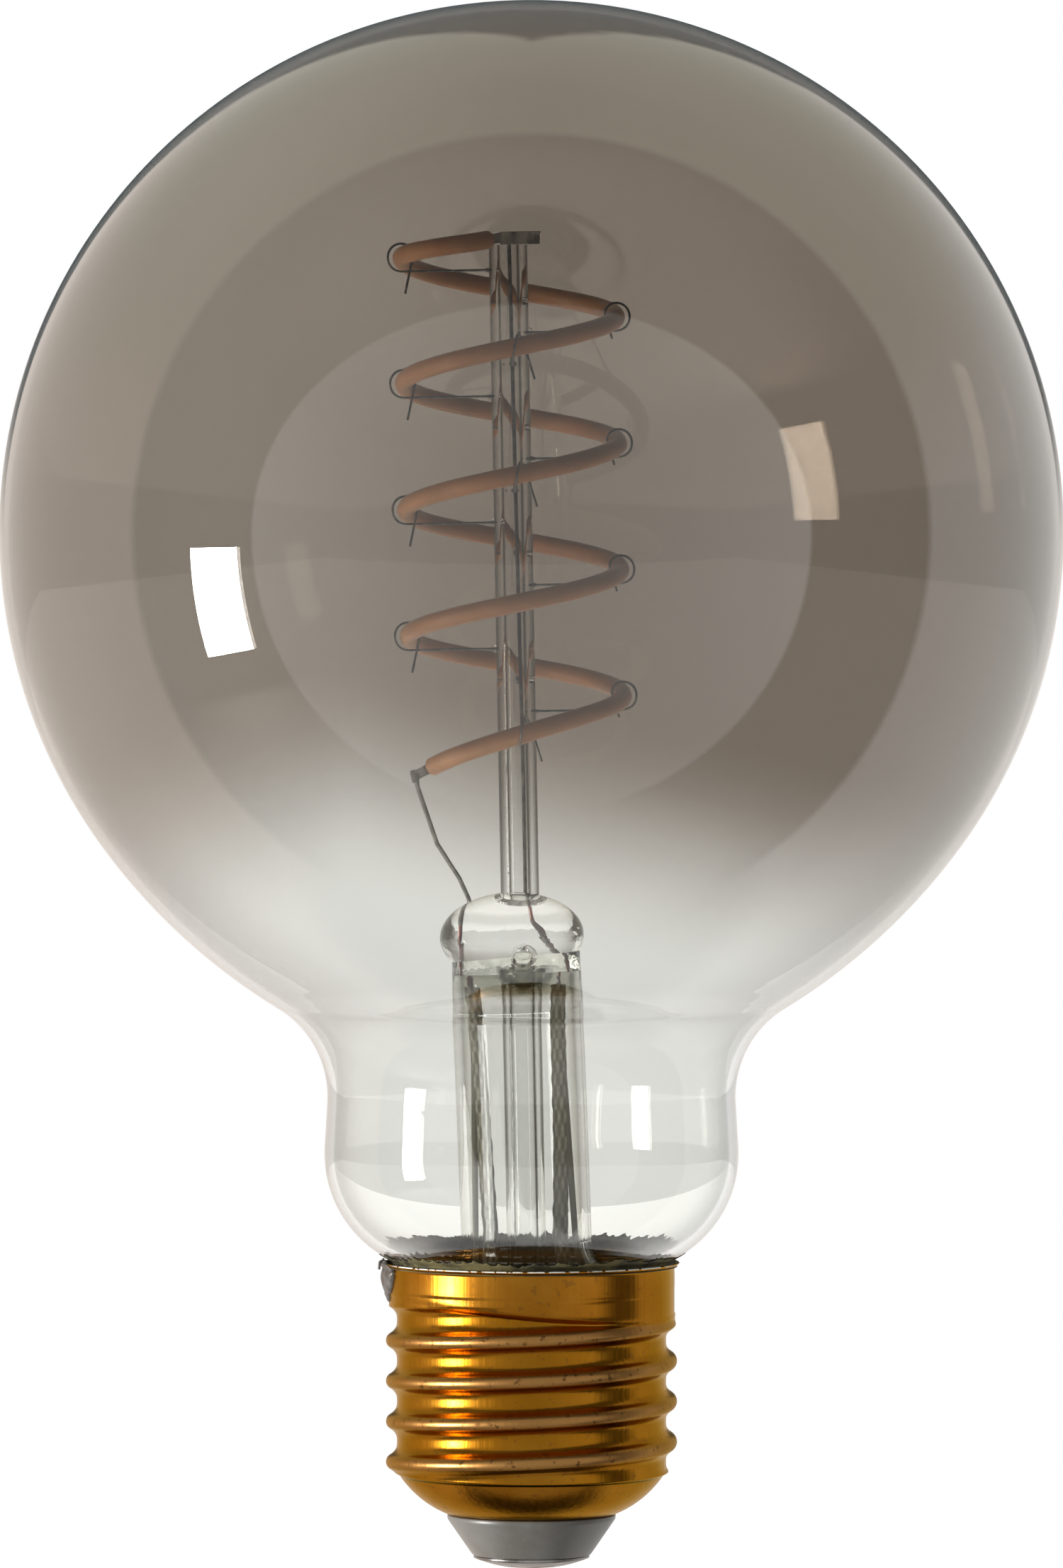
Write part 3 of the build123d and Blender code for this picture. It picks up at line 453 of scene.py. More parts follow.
out_way = (coil[0] - coil[1]).normalized()
tab_side = Vector((out_way.y, -out_way.x, 0)).normalized()
tab_up = out_way.cross(tab_side).normalized()
tab_verts, tab_faces = [], []
for along_tab, flat in TAB_STEPS:
    middle = coil[0] + out_way * TAB_LENGTH * along_tab
    for u, v in ((-1, -1), (1, -1), (1, 1), (-1, 1)):
        corner = middle + tab_side * u * TAB_THICK / 2 * flat ** 2 + tab_up * v * TAB_WIDTH / 2 * flat
        tab_verts.append(support_frame @ corner * MM)
for k in range(len(TAB_STEPS) - 1):
    for i in range(4):
        j = (i + 1) % 4
        tab_faces.append((4 * k + i, 4 * k + j, 4 * k + 4 + j, 4 * k + 4 + i))
tab_faces += [(3, 2, 1, 0), tuple(range(len(tab_verts) - 4, len(tab_verts)))]
tab_mesh = bpy.data.meshes.new("low_tab")
tab_mesh.from_pydata(tab_verts, [], tab_faces)
show("low_tab", tab_mesh, "nickel_metal", dull_steel, "filament_tab_bottom")

knob = coil[0] + out_way * (TAB_LENGTH - TAB_WIDTH / 2) + tab_side * (TAB_THICK / 2 + LEAD_R)
lead_points = [support_frame @ Vector(p) for p in (
    knob + Vector((0, 0, TAB_WIDTH / 2)), knob - Vector((0, 0, TAB_WIDTH)), *LEAD_MIDDLE)]
lead_points += [flare_frame @ Vector((LEAD_X, 0, z)) for z in LEAD_LOW_Z]


def rounded(points, bend, step=0.35):
    """The given runs with an arc at each corner, as points."""
    points = [Vector(p) for p in points]
    path = [points[0]]
    for before, corner, after in zip(points, points[1:], points[2:]):
        a, b = (before - corner).normalized(), (after - corner).normalized()
        half_angle = a.angle(b) / 2
        reach = min(bend / tan(half_angle), (before - corner).length / 2, (after - corner).length / 2)
        r = reach * tan(half_angle)
        centre = corner + (a + b).normalized() * r / sin(half_angle)
        start, end = corner + a * reach - centre, corner + b * reach - centre
        turn = start.angle(end)
        count = max(2, int(r * turn / step) + 1)
        for i in range(count + 1):
            t = turn * i / count
            path.append(centre + (start * sin(turn - t) + end * sin(t)) / sin(turn))
    return path + [points[-1]]


lead_path = path_object("lower_lead_path", rounded(lead_points, LEAD_BEND))
lead_mesh = baked(lead_path, sweep_tree, sweep_keys, {
    "Section radius": LEAD_THICKEN * LEAD_R * MM, "Sides": LEAD_SIDES, "Finish": dull_steel})
show("low_lead", lead_mesh, "nickel_metal", dull_steel, "lower_lead")


# Copper leads.
# Short copper-coated wires stand in the glass of the seal, where they turned dark red. Bare copper wires are
# welded to them below and run down to the driver, and one more joins the driver to the contact.
seal_copper = grained(
    "seal_copper", (0.2, 0.05, 0.045), (0.42, 0.13, 0.1), (0.3, 0.5), scale=1400.0, Metallic=0.7)[0]
finish_nodes(seal_copper, "seal_wire_left", "seal_wire_right")
bare_copper = grained(
    "bare_copper", (0.5, 0.2, 0.1), (0.78, 0.38, 0.24), (0.25, 0.4), scale=1200.0, Metallic=1.0)[0]
finish_nodes(bare_copper, "outer_lead_left", "outer_lead_right", "contact_lead")


# Hooks.
# Springy wire rooted in the softened support tube, four to a turn. Each runs out under the filament, bends
# round it in an open ring and hangs down in a short tail.
HOOK_WIRE_R = 0.11
HOOK_RING_R = 1.25
HOOK_BEND_R = 1.2
HOOK_ROOT_R = 1.0
HOOK_DRIFT = 0.42
HOOK_DRIFT_FRONT = 1.1
HOOK_SIDES = 10
HOOKS_UP = 4
SUPPORT_R = 1.725
BEAD_R = 0.3
BEAD_SEED = 7
BEAD_LEAST = (0.75, 0.8, 0.7)
BEAD_MOST = (1.25, 1.3, 1.5)


def hook_tree():
    """Repeats one hook up the support tube, a filament turn apart, and leaves one out where there is none."""
    tree, keys = new_geometry_tree("hook_row", (
        ("Wire radius", "NodeSocketFloat"), ("Count", "NodeSocketInt"), ("Turn height", "NodeSocketFloat"),
        ("Left out", "NodeSocketInt"), ("Finish", "NodeSocketMaterial")))
    n = Nodes(tree)
    given = n.add("NodeGroupInput").outputs
    hook = swept(n, given["Geometry"], given["Wire radius"], HOOK_SIDES)
    climb = n.add("ShaderNodeCombineXYZ", Z=given["Turn height"])
    line = n.add("GeometryNodeMeshLine", Count=given["Count"], Offset=climb.outputs[0])
    number = n.add("GeometryNodeInputIndex").outputs[0]
    kept = n.add("FunctionNodeCompare", {"data_type": "INT", "operation": "NOT_EQUAL"})
    tree.links.new(number, kept.inputs[2])
    tree.links.new(given["Left out"], kept.inputs[3])
    row = n.add("GeometryNodeInstanceOnPoints", Points=line.outputs["Mesh"], Selection=kept.outputs[0],
                Instance=hook)
    hand_out(n, row.outputs[0], given["Finish"])
    return tree, keys


hook_steel = grained(
    "hook_wire", (0.1, 0.1, 0.095), (0.22, 0.21, 0.2), (0.3, 0.45), scale=1500.0, Metallic=1.0)[0]
row_tree, row_keys = hook_tree()
bead_places = []
for side, angle, left_out, drift, shift, tail, lean_out, sway in (
        ("right", 0, -1, HOOK_DRIFT, 0.0, 0.7, 0.9, 0.0),
        ("left", 180, -1, HOOK_DRIFT, 0.0, 2.0, 1.0, 0.0),
        ("back", 90, -1, HOOK_DRIFT, 0.0, 3.0, 0.0, 1.0),
        ("front", -90, 1, HOOK_DRIFT_FRONT, 0.8, 1.5, 0.0, 0.6)):
    near, far, start = COIL_R - HOOK_RING_R, COIL_R + HOOK_RING_R, shift - drift / 2
    route = rounded([
        (HOOK_ROOT_R, start, -HOOK_RING_R), (far, start, -HOOK_RING_R),
        (far, start + drift / 3, HOOK_RING_R), (near, start + 2 * drift / 3, HOOK_RING_R),
        (near + lean_out, start + drift * 1.2 + sway, -HOOK_RING_R - tail)], HOOK_BEND_R)
    foot_z = COIL_Z_RIGHT + COIL_PITCH * angle / 360
    foot = Matrix.Translation((0, 0, foot_z)) @ Matrix.Rotation(radians(angle), 4, "Z")
    hook_path = path_object(f"hook_path_{side}", [foot @ p for p in route])
    mesh = baked(hook_path, row_tree, row_keys, {
        "Wire radius": HOOK_WIRE_R * MM, "Count": HOOKS_UP, "Turn height": COIL_PITCH * MM, "Left out": left_out,
        "Finish": hook_steel})
    mesh.transform(Matrix.Scale(MM, 4) @ support_frame @ Matrix.Scale(1 / MM, 4))
    show(f"wire_hooks_{side}", mesh, "nickel_metal", hook_steel, f"hooks_{side}")
    bead_places += [support_frame @ foot @ Vector((SUPPORT_R, start, -HOOK_RING_R + COIL_PITCH * k))
                    for k in range(HOOKS_UP) if k != left_out]


def bead_tree():
    """A small melted bead of glass at every point, each a little different."""
    tree, keys = new_geometry_tree("root_beads", (
        ("Bead radius", "NodeSocketFloat"), ("Seed", "NodeSocketInt"), ("Finish", "NodeSocketMaterial")))
    n = Nodes(tree)
    given = n.add("NodeGroupInput").outputs
    bead = n.add("GeometryNodeMeshUVSphere", Segments=20, Rings=12, Radius=given["Bead radius"])
    spread = n.add("FunctionNodeRandomValue", {"data_type": "FLOAT_VECTOR"}, Seed=given["Seed"])
    spread.inputs[0].default_value = BEAD_LEAST
    spread.inputs[1].default_value = BEAD_MOST
    dots = n.add("GeometryNodeInstanceOnPoints", Points=given["Geometry"], Instance=bead.outputs["Mesh"],
                 Scale=spread.outputs[0])
    hand_out(n, dots.outputs[0], given["Finish"])
    return tree, keys


dots_mesh = bpy.data.meshes.new("bead_places")
dots_mesh.from_pydata([p * MM for p in bead_places], [], [])
dots = bpy.data.objects.new("bead_places", dots_mesh)
bpy.context.collection.objects.link(dots)
beads_tree, beads_keys = bead_tree()
bead_mesh = baked(dots, beads_tree, beads_keys, {
    "Bead radius": BEAD_R * MM, "Seed": BEAD_SEED, "Finish": clear_glass})
show("hook_root_beads", bead_mesh, "stem_glass", clear_glass)


# Globe envelope.
# One blown soda-lime glass bulb: globe, shoulder, waist and bulged neck. A thin smoke coat inside the globe
# turns it grey-brown and a little mirror-like, and fades to clear glass above the neck. Its lighter left side
# is painted light, and its dark edge-on rim is mostly painted shade.
GLOBE_R = 47.5
GLOBE_Z = 92.5
SHOULDER_R = 55.0
SHOULDER_FROM = 36.0
WAIST_R = 9.25
WAIST_THIN_R = 18.253
NECK_R = 18.52
NECK_Z = 37.0
NECK_BEND_R = 10.6
NECK_BEND_TO = 67.0
SEAL_BEND_R = 1.5
SEAL_Z = 22.8
GLASS_WALL = 0.8
AROUND = 192


def along(centre, radius, angle):
    return centre[0] + radius * cos(radians(angle)), centre[1] - radius * sin(radians(angle))


def arc(centre, radius, a, b, steps):
    return [along(centre, radius, a + (b - a) * i / steps) for i in range(steps + 1)]


def smooth_mesh(name, verts, faces):
    mesh = bpy.data.meshes.new(name)
    mesh.from_pydata(verts, [], faces)
    mesh.polygons.foreach_set("use_smooth", [True] * len(mesh.polygons))
    return mesh


def lathe(name, outline, around=AROUND, closed=True):
    """A turned mesh: outline of (radius, height) in mm, listed so that faces look outwards."""
    verts, rings = [], []
    for r, z in outline:
        if r < 1e-6:
            rings.append([len(verts)] * around)
            verts.append((0, 0, z * MM))
        else:
            rings.append(range(len(verts), len(verts) + around))
            verts += [(r * MM * cos(2 * pi * i / around), r * MM * sin(2 * pi * i / around), z * MM)
                      for i in range(around)]
    faces = []
    pairs = list(zip(rings, rings[1:] + rings[:1]))
    for low, high in pairs if closed else pairs[:-1]:
        for i in range(around):
            j = (i + 1) % around
            face = list(dict.fromkeys((low[i], low[j], high[j], high[i])))
            if len(face) > 2:
                faces.append(face)
    return smooth_mesh(name, verts, faces)


shoulder_centre = along((0, GLOBE_Z), GLOBE_R - SHOULDER_R, SHOULDER_FROM)
SHOULDER_TO = degrees(acos((WAIST_THIN_R + WAIST_R - shoulder_centre[0]) / (SHOULDER_R + WAIST_R)))
waist_centre = along(shoulder_centre, SHOULDER_R + WAIST_R, SHOULDER_TO)
neck_centre = (NECK_R - NECK_BEND_R, NECK_Z)
neck_to_waist = (waist_centre[0] - neck_centre[0], waist_centre[1] - neck_centre[1])
waist_to = (degrees(acos((WAIST_R + NECK_BEND_R) / hypot(*neck_to_waist)))
            - degrees(atan2(neck_to_waist[1], neck_to_waist[0])))
seal_bend_centre = along(neck_centre, NECK_BEND_R + SEAL_BEND_R, NECK_BEND_TO)
SEAL_R = seal_bend_centre[0] - SEAL_BEND_R


def envelope_outline(inset):
    """From the top of the globe down to the cut end in the cap."""
    points = arc((0, GLOBE_Z), GLOBE_R - inset, -90, SHOULDER_FROM, 84)
    points += arc(shoulder_centre, SHOULDER_R - inset, SHOULDER_FROM, SHOULDER_TO, 14)[1:]
    points += arc(waist_centre, -WAIST_R - inset, SHOULDER_TO, waist_to, 26)[1:]
    points += arc(neck_centre, NECK_BEND_R - inset, waist_to, NECK_BEND_TO, 30)
    points += arc(seal_bend_centre, -SEAL_BEND_R - inset, NECK_BEND_TO, 0, 8)[1:]
    points += [(SEAL_R - inset, SEAL_Z)]
    points[0] = (0, GLOBE_Z + GLOBE_R - inset)
    return points


smoke_glass, n, glass = new_paint("smoke_glass")
set_plain(glass, Roughness=0.0, IOR=1.45, Transmission_Weight=1.0, Coat_IOR=1.75, Coat_Roughness=0.0)
place = n.add("ShaderNodeTexCoord").outputs["Object"]
spot = n.add("ShaderNodeSeparateXYZ", Vector=place).outputs
slope = n.math("MULTIPLY", n.math("MAXIMUM", spot["X"], -0.016), 0.2)
far_left = n.math("MAXIMUM", n.math("SUBTRACT", -0.016, spot["X"]), 0.0)
tilted = n.math("ADD", spot["Z"], n.math("ADD", slope, n.math("MULTIPLY", far_left, 0.35)))
clouds = n.add("ShaderNodeTexNoise", Vector=place, Scale=18.0, Detail=2.0).outputs["Fac"]
coat_height = n.between(n.math("ADD", tilted, n.math("MULTIPLY", clouds, 0.004)), 0.0575, 0.0795)
# The coat tint is lighter towards the left, where the window lamp stands: painted light over the smoke coat's own
# grey-brown.
smoke_and_lamp_tint = n.mix(n.between(spot["X"], 0.004, -0.03), (0.425, 0.382, 0.338), (0.505, 0.465, 0.418))
edge = n.add("ShaderNodeLayerWeight", Blend=0.5).outputs["Facing"]
tint = n.mix(coat_height, (0.87, 0.872, 0.845), smoke_and_lamp_tint)
# Darker where the glass is seen edge-on: painted shade for the dark surroundings seen through the edges, with a
# little of the glass's own tint over the longer path.
edge_shade = n.math("MULTIPLY", n.between(edge, 0.45, 0.88), 0.68)
n.put(glass, "Base Color", n.mix(edge_shade, tint, (0.1, 0.095, 0.08)))
from_middle = n.add(
    "ShaderNodeVectorMath", {"operation": "DISTANCE"}, i0=place, i1=(0, 0, GLOBE_Z * MM)).outputs["Value"]
outside = n.between(from_middle, 0.0469, 0.0473)
mirror = n.math("MULTIPLY", coat_height, n.math("SUBTRACT", 0.8, n.math("MULTIPLY", edge, 0.8)))
mirror = n.math("MULTIPLY", mirror, n.math("ADD", 0.15, n.math("MULTIPLY", outside, 0.85)))
n.put(glass, "Coat Weight", mirror)

globe_outline = envelope_outline(0) + envelope_outline(GLASS_WALL)[::-1]
show("blown_globe", lathe("blown_globe", globe_outline[::-1]), "globe_glass", smoke_glass, "globe_envelope")


# Braided sleeves.
# Glass-fibre braid pushed over each outer lead from the seal down to the board. The yarns cross in small
# diamonds, with painted shade in the dips between them, and the cut ends are a little open.
SLEEVE_R = 0.73
SLEEVE_BORE_R = 0.3
LEAD_BEND_R = 1.2
LEAD_HOLE_X = 5.0
BOARD_TOP_Z = 15.0
SEAL_LOW_Z = 52.4
YARNS = 7
YARN_RISE = 0.05
YARN_TWIST = 2.6
BRAID_SIDES = 42
BRAID_STEP = 0.13


def ring_mesh(name, verts, around):
    """Joins rings of as many points each, the last to the first, into a closed smooth mesh."""
    count = len(verts) // around
    faces = []
    for k in range(count):
        for i in range(around):
            j, m = (i + 1) % around, (k + 1) % count
            faces.append((k * around + i, k * around + j, m * around + j, m * around + i))
    return smooth_mesh(name, verts, faces)


def braided_tube(name, path):
    """A tube along a path whose wall rises in crossing yarns."""
    rows = [path[0]]
    for a, b in zip(path, path[1:]):
        count = max(1, int((b - a).length / BRAID_STEP))
        rows += [a + (b - a) * i / count for i in range(1, count + 1)]
    verts, heights, run = [], [], 0.0
    turns = [2 * pi * i / BRAID_SIDES for i in range(BRAID_SIDES)]
    side = Vector((1, 0, 0))
    for k, point in enumerate(rows):
        ahead = rows[min(k + 1, len(rows) - 1)] - rows[max(k - 1, 0)]
        way = ahead.normalized()
        side = (side - way * side.dot(way)).normalized()
        other = way.cross(side)
        run += (point - rows[k - 1]).length if k else 0.0
        for t in turns:
            weave = cos(YARNS * t + YARN_TWIST * run) + cos(YARNS * t - YARN_TWIST * run)
            heights.append(0.5 + 0.25 * weave)
            r = SLEEVE_R - YARN_RISE + YARN_RISE * weave * 0.5 + 0.02 * sin(3.1 * run + 2 * t)
            verts.append((point + (side * cos(t) + other * sin(t)) * r) * MM)
    verts += [(rows[-1] + (side * cos(t) + other * sin(t)) * SLEEVE_BORE_R) * MM for t in turns]
    start_way = (rows[1] - rows[0]).normalized()
    side = (Vector((1, 0, 0)) - start_way * start_way.x).normalized()
    other = start_way.cross(side)
    verts += [(rows[0] + (side * cos(t) + other * sin(t)) * SLEEVE_BORE_R) * MM for t in turns]
    mesh = ring_mesh(name, verts, BRAID_SIDES)
    weave_height = mesh.attributes.new("weave", "FLOAT", "POINT")
    weave_height.data.foreach_set("value", heights + [0.0] * (len(verts) - len(heights)))
    return mesh


braid, n, yarn = grained(
    "glass_braid", (0.48, 0.45, 0.35), (0.68, 0.645, 0.52), (0.7, 0.9), scale=2200.0, relief=0.35)
yarn_tone = yarn.inputs["Base Color"].links[0].from_socket
# Darker where the wall dips between the yarns: painted shade between the crossings.
woven = n.add("ShaderNodeAttribute", {"attribute_name": "weave"}).outputs["Fac"]
n.put(yarn, "Base Color", n.mix(n.between(woven, 0.75, 0.3), yarn_tone, (0.3, 0.275, 0.205)))
for name, out_x, ways, hole_x in (
        ("left", -3.9, ((-4.45, 0.2, 41.0), (-3.65, 0.1, 29.5), (-3.95, 0, 23.0)), -LEAD_HOLE_X),
        ("right", 3.6, ((2.65, 0.2, 37.5), (2.6, 0.1, 29.5), (3.3, 0, 23.0)), LEAD_HOLE_X)):
    top = flare_frame @ Vector((out_x, 0, SEAL_LOW_Z))
    first = top + (Vector(ways[0]) - top).normalized() * 0.1
    runs = [first, *ways, (hole_x, 0, BOARD_TOP_Z + 2 * SLEEVE_R), (hole_x, 0, BOARD_TOP_Z + SLEEVE_R / 3)]
    mesh = braided_tube(f"braid_{name}", rounded(runs, LEAD_BEND_R))
    show(f"braided_sleeve_{name}", mesh, "sleeve_braid", braid, f"lead_sleeve_{name}")


# Driver in the cap.
# A round board in a white tube carries the rectifier and the driver chip on top, and the smoothing capacitor
# and the fusible resistor below. All of it is hidden once the cap is on.
for name, dark, light, rough, scale, metallic, nodes in (
        ("white_tube", (0.72, 0.72, 0.69), (0.84, 0.84, 0.81), (0.4, 0.55), 300.0, 0.0, ["insulating_sleeve"]),
        ("green_board", (0.03, 0.13, 0.05), (0.05, 0.2, 0.08), (0.3, 0.45), 900.0, 0.0, ["driver_board"]),
        ("chip_black", (0.012, 0.012, 0.013), (0.03, 0.03, 0.032), (0.4, 0.6), 1500.0, 0.0,
         ["bridge_rectifier", "driver_chip"]),
        ("capacitor_can", (0.45, 0.46, 0.48), (0.68, 0.69, 0.71), (0.25, 0.4), 800.0, 1.0, ["smoothing_capacitor"]),
        ("resistor_lacquer", (0.2, 0.32, 0.36), (0.28, 0.42, 0.46), (0.35, 0.5), 600.0, 0.0, ["fuse_resistor"])):
    finish_nodes(grained(name, dark, light, rough, scale=scale, Metallic=metallic)[0], *nodes)


# Cap shell.
# Thin brass strip drawn into a cup with a domed floor, then rolled between two thread rolls, so the wave of
# the thread stands on the inside as well. The mouth keeps a plain collar with a small turned-out rim. The
# hollows, the outlines and the crease above the dome carry painted shade, the front of the rim a painted highlight.
BRASS = 0.3
THREAD_PITCH = 3.629
CREST_R = 13.03
ROOT_R = 11.98
CREST_BEND_R = 0.75
ROOT_FLAT = 0.04
CREST_Z_RIGHT = 18.45
FADE_LOW_Z = 8.3
FADE_LOW_RISE = 0.65
FADE_TOP_Z = 21.4
FADE_TOP_RISE = 1.0
COLLAR_R = 12.8
COLLAR_Z = 22.87
COLLAR_SLOPE = 5.03
COLLAR_BEND_R = 1.0
FLARE_OUT_Z = 26.8
RIM_Z = 27.3
RIM_R = 13.35
DOME_R = 9.25
DOME_TOP_R = 11.9
DOME_TOP_Z = 8.3
DOME_FROM = 33.0
DOME_TO = 69.0
LIP_HOLE_R = 6.9
SOFTEN = 0.12
COLLAR_SOFTEN = 0.4
CAP_AROUND = 240
DOME_ROWS = 14
THREAD_ROWS = 150
FLARE_ROWS = 4
LIP_STEPS = 8
LIP_RISE = 0.1
LIP_INSET = 0.11
depth = CREST_R - ROOT_R
half_pitch = THREAD_PITCH / 2
ROOT_BEND_R = (depth ** 2 + half_pitch ** 2) / (2 * depth) - CREST_BEND_R
dome_centre = (DOME_TOP_R - DOME_R * cos(radians(DOME_FROM)), DOME_TOP_Z + DOME_R * sin(radians(DOME_FROM)))
dome_floor = along(dome_centre, DOME_R, DOME_TO)
crest_end = CREST_BEND_R * sin(atan2(half_pitch, ROOT_R + ROOT_BEND_R - CREST_R + CREST_BEND_R))


def blend_max(a, b, soften=SOFTEN):
    """The larger of two radii, with a small fillet where they cross."""
    t = max(0.0, min(1.0, 0.5 + 0.5 * (a - b) / soften))
    return b + (a - b) * t + soften * t * (1 - t)


def thread_radius(angle, z):
    u = (z - CREST_Z_RIGHT - THREAD_PITCH * angle / (2 * pi)) % THREAD_PITCH
    u = min(u, THREAD_PITCH - u)
    if u < crest_end:
        r = CREST_R - CREST_BEND_R + sqrt(CREST_BEND_R ** 2 - u ** 2)
    else:
        r = ROOT_R + ROOT_BEND_R - sqrt(ROOT_BEND_R ** 2 - (half_pitch - u) ** 2)
    low = (z - FADE_LOW_Z) / FADE_LOW_RISE
    top = min(1.0, (z - FADE_TOP_Z) / FADE_TOP_RISE)
    limit = ROOT_R + (CREST_R - ROOT_R) * low if low < 1 else CREST_R + ROOT_FLAT
    if top > 0:
        limit = min(limit, CREST_R + (COLLAR_R - ROOT_FLAT - CREST_R) * top)
    return min(r, limit)


def collar_radius(angle, z):
    edge = COLLAR_Z - COLLAR_R * cos(angle) * tan(radians(COLLAR_SLOPE))
    lift = z - edge
    if lift <= 0:
        return ROOT_R - 2 * SOFTEN
    r = COLLAR_R
    if lift < COLLAR_BEND_R:
        r = COLLAR_R - COLLAR_BEND_R + sqrt(COLLAR_BEND_R ** 2 - (COLLAR_BEND_R - lift) ** 2)
    if z > FLARE_OUT_Z:
        t = (z - FLARE_OUT_Z) / (RIM_Z - FLARE_OUT_Z)
        r += (RIM_R - COLLAR_R) * t
    return r


def cap_radius(angle, z):
    if z < DOME_TOP_Z:
        return dome_centre[0] + sqrt(max(0.0, DOME_R ** 2 - (dome_centre[1] - z) ** 2))
    wall = ROOT_R + ROOT_FLAT
    soften = COLLAR_SOFTEN if z < FLARE_OUT_Z - 2.0 else SOFTEN
    return blend_max(blend_max(wall, thread_radius(angle, z)), collar_radius(angle, z), soften)


def cap_mesh():
    """The drawn and rolled sheet: outside up to the rim, over its rounded lip, and back down inside."""
    heights = [dome_floor[1] + (DOME_TOP_Z - 0.01 - dome_floor[1]) * i / DOME_ROWS for i in range(DOME_ROWS + 1)]
    heights += [DOME_TOP_Z + 0.05 + (FLARE_OUT_Z - DOME_TOP_Z - 0.05) * i / THREAD_ROWS
                for i in range(THREAD_ROWS + 1)]
    heights += [FLARE_OUT_Z + (RIM_Z - LIP_RISE - FLARE_OUT_Z) * i / FLARE_ROWS for i in range(1, FLARE_ROWS + 1)]
    rows = [(lambda a, z=z: (cap_radius(a, z), z)) for z in heights]
    lip = BRASS / 2
    for i in range(1, LIP_STEPS):
        t = radians(180 * i / LIP_STEPS)
        rows.append(lambda a, t=t: (RIM_R - LIP_INSET - lip + lip * cos(t), RIM_Z - LIP_RISE + LIP_RISE * sin(t)))
    for z in heights[::-1][1::3]:
        rows.append(lambda a, z=z: (cap_radius(a, z) - BRASS, z + BRASS / 4))
    rows.append(lambda a: (LIP_HOLE_R, dome_floor[1] + BRASS))
    rows.append(lambda a: (LIP_HOLE_R, dome_floor[1]))
    verts = []
    for row in rows:
        for i in range(CAP_AROUND):
            a = 2 * pi * i / CAP_AROUND
            r, z = row(a)
            verts.append((r * cos(a) * MM, r * sin(a) * MM, z * MM))
    return ring_mesh("rolled_cap", verts, CAP_AROUND)


brass, n, metal = new_paint("rolled_brass")
set_plain(metal, Metallic=1.0, Anisotropic=0.35, Specular_Tint=(0.95, 0.8, 0.5, 1))
place = n.add("ShaderNodeTexCoord").outputs["Object"]
spot = n.add("ShaderNodeSeparateXYZ", Vector=place).outputs
flat_place = n.add("ShaderNodeCombineXYZ", X=spot["X"], Y=spot["Y"], Z=0.0).outputs[0]
radius = n.add("ShaderNodeVectorMath", {"operation": "LENGTH"}, i0=flat_place).outputs["Value"]
streak_place = n.add("ShaderNodeMapping", Vector=place)
streak_place.inputs["Scale"].default_value = (1, 1, 0.02)
streaks = n.add(
    "ShaderNodeTexNoise", Vector=streak_place.outputs[0], Scale=2600.0, Detail=3.0).outputs["Fac"]
patches = n.add("ShaderNodeTexNoise", Vector=place, Scale=160.0, Detail=4.0).outputs["Fac"]
specks = n.add("ShaderNodeTexNoise", Vector=place, Scale=1500.0, Detail=2.0).outputs["Fac"]
crest = n.math("MULTIPLY", n.between(radius, 0.01262, 0.013), n.math("LESS_THAN", spot["Z"], 0.0222))
# The thread's hollows are painted a little darker and deeper in hue: painted shade in the recesses.
hollow = n.math("MULTIPLY", n.between(radius, 0.01235, 0.01205), n.between(spot["Z"], 0.0078, 0.0084))
base = n.mix(n.between(patches, 0.35, 0.7), (0.33, 0.125, 0.01), (0.4, 0.17, 0.018))
base = n.mix(n.math("MULTIPLY", hollow, 0.35), base, (0.3, 0.13, 0.003))
base = n.mix(n.math("MULTIPLY", crest, 0.55), base, (0.36, 0.21, 0.09))
# Darker towards the outlines, where the brass is seen at a slant: painted shade.
edge = n.add("ShaderNodeLayerWeight", Blend=0.5).outputs["Facing"]
base = n.mix(n.math("MULTIPLY", n.between(edge, 0.25, 0.6), 0.45), base, (0.12, 0.045, 0.006))
grime = n.math("MULTIPLY", n.between(specks, 0.6, 0.7), n.math("ADD", n.math("MULTIPLY", crest, 0.5), 0.35))
base = n.mix(grime, base, (0.13, 0.06, 0.02))
# A thin dark line where the dome meets the thread, on the front only: painted shade in the crease.
crease_height = n.math("ABSOLUTE", n.math("SUBTRACT", spot["Z"], 0.0082))
crease_shade = n.math("MULTIPLY", n.between(crease_height, 0.0001, 0.00005), n.between(patches, 0.2, 0.3))
base = n.mix(n.math("MULTIPLY", crease_shade, n.between(spot["Y"], -0.002, -0.006)), base, (0.02, 0.01, 0.003))
# A broken near-white line along the front of the rim top: a painted highlight, standing for the white backdrop
# caught at the rim and glass edge.
lip = n.math("MULTIPLY", n.between(spot["Z"], 0.02716, 0.02722), n.between(specks, 0.38, 0.46))
lip = n.math("MULTIPLY", lip, n.between(spot["Y"], -0.003, -0.007))
n.put(metal, "Base Color", n.mix(lip, base, (1.0, 1.0, 0.96)))
rough = n.math("ADD", n.math("MULTIPLY", streaks, 0.16), 0.15)
rough = n.math("ADD", rough, n.math("MULTIPLY", crest, 0.12))
n.put(metal, "Roughness", n.math("ADD", rough, n.math("MULTIPLY", lip, 0.6)))
n.put(metal, "Normal", n.add("ShaderNodeBump", Strength=0.17, Distance=0.0001, Height=streaks).outputs[0])
show("rolled_cap", cap_mesh(), "cap_brass", brass, "cap_shell")


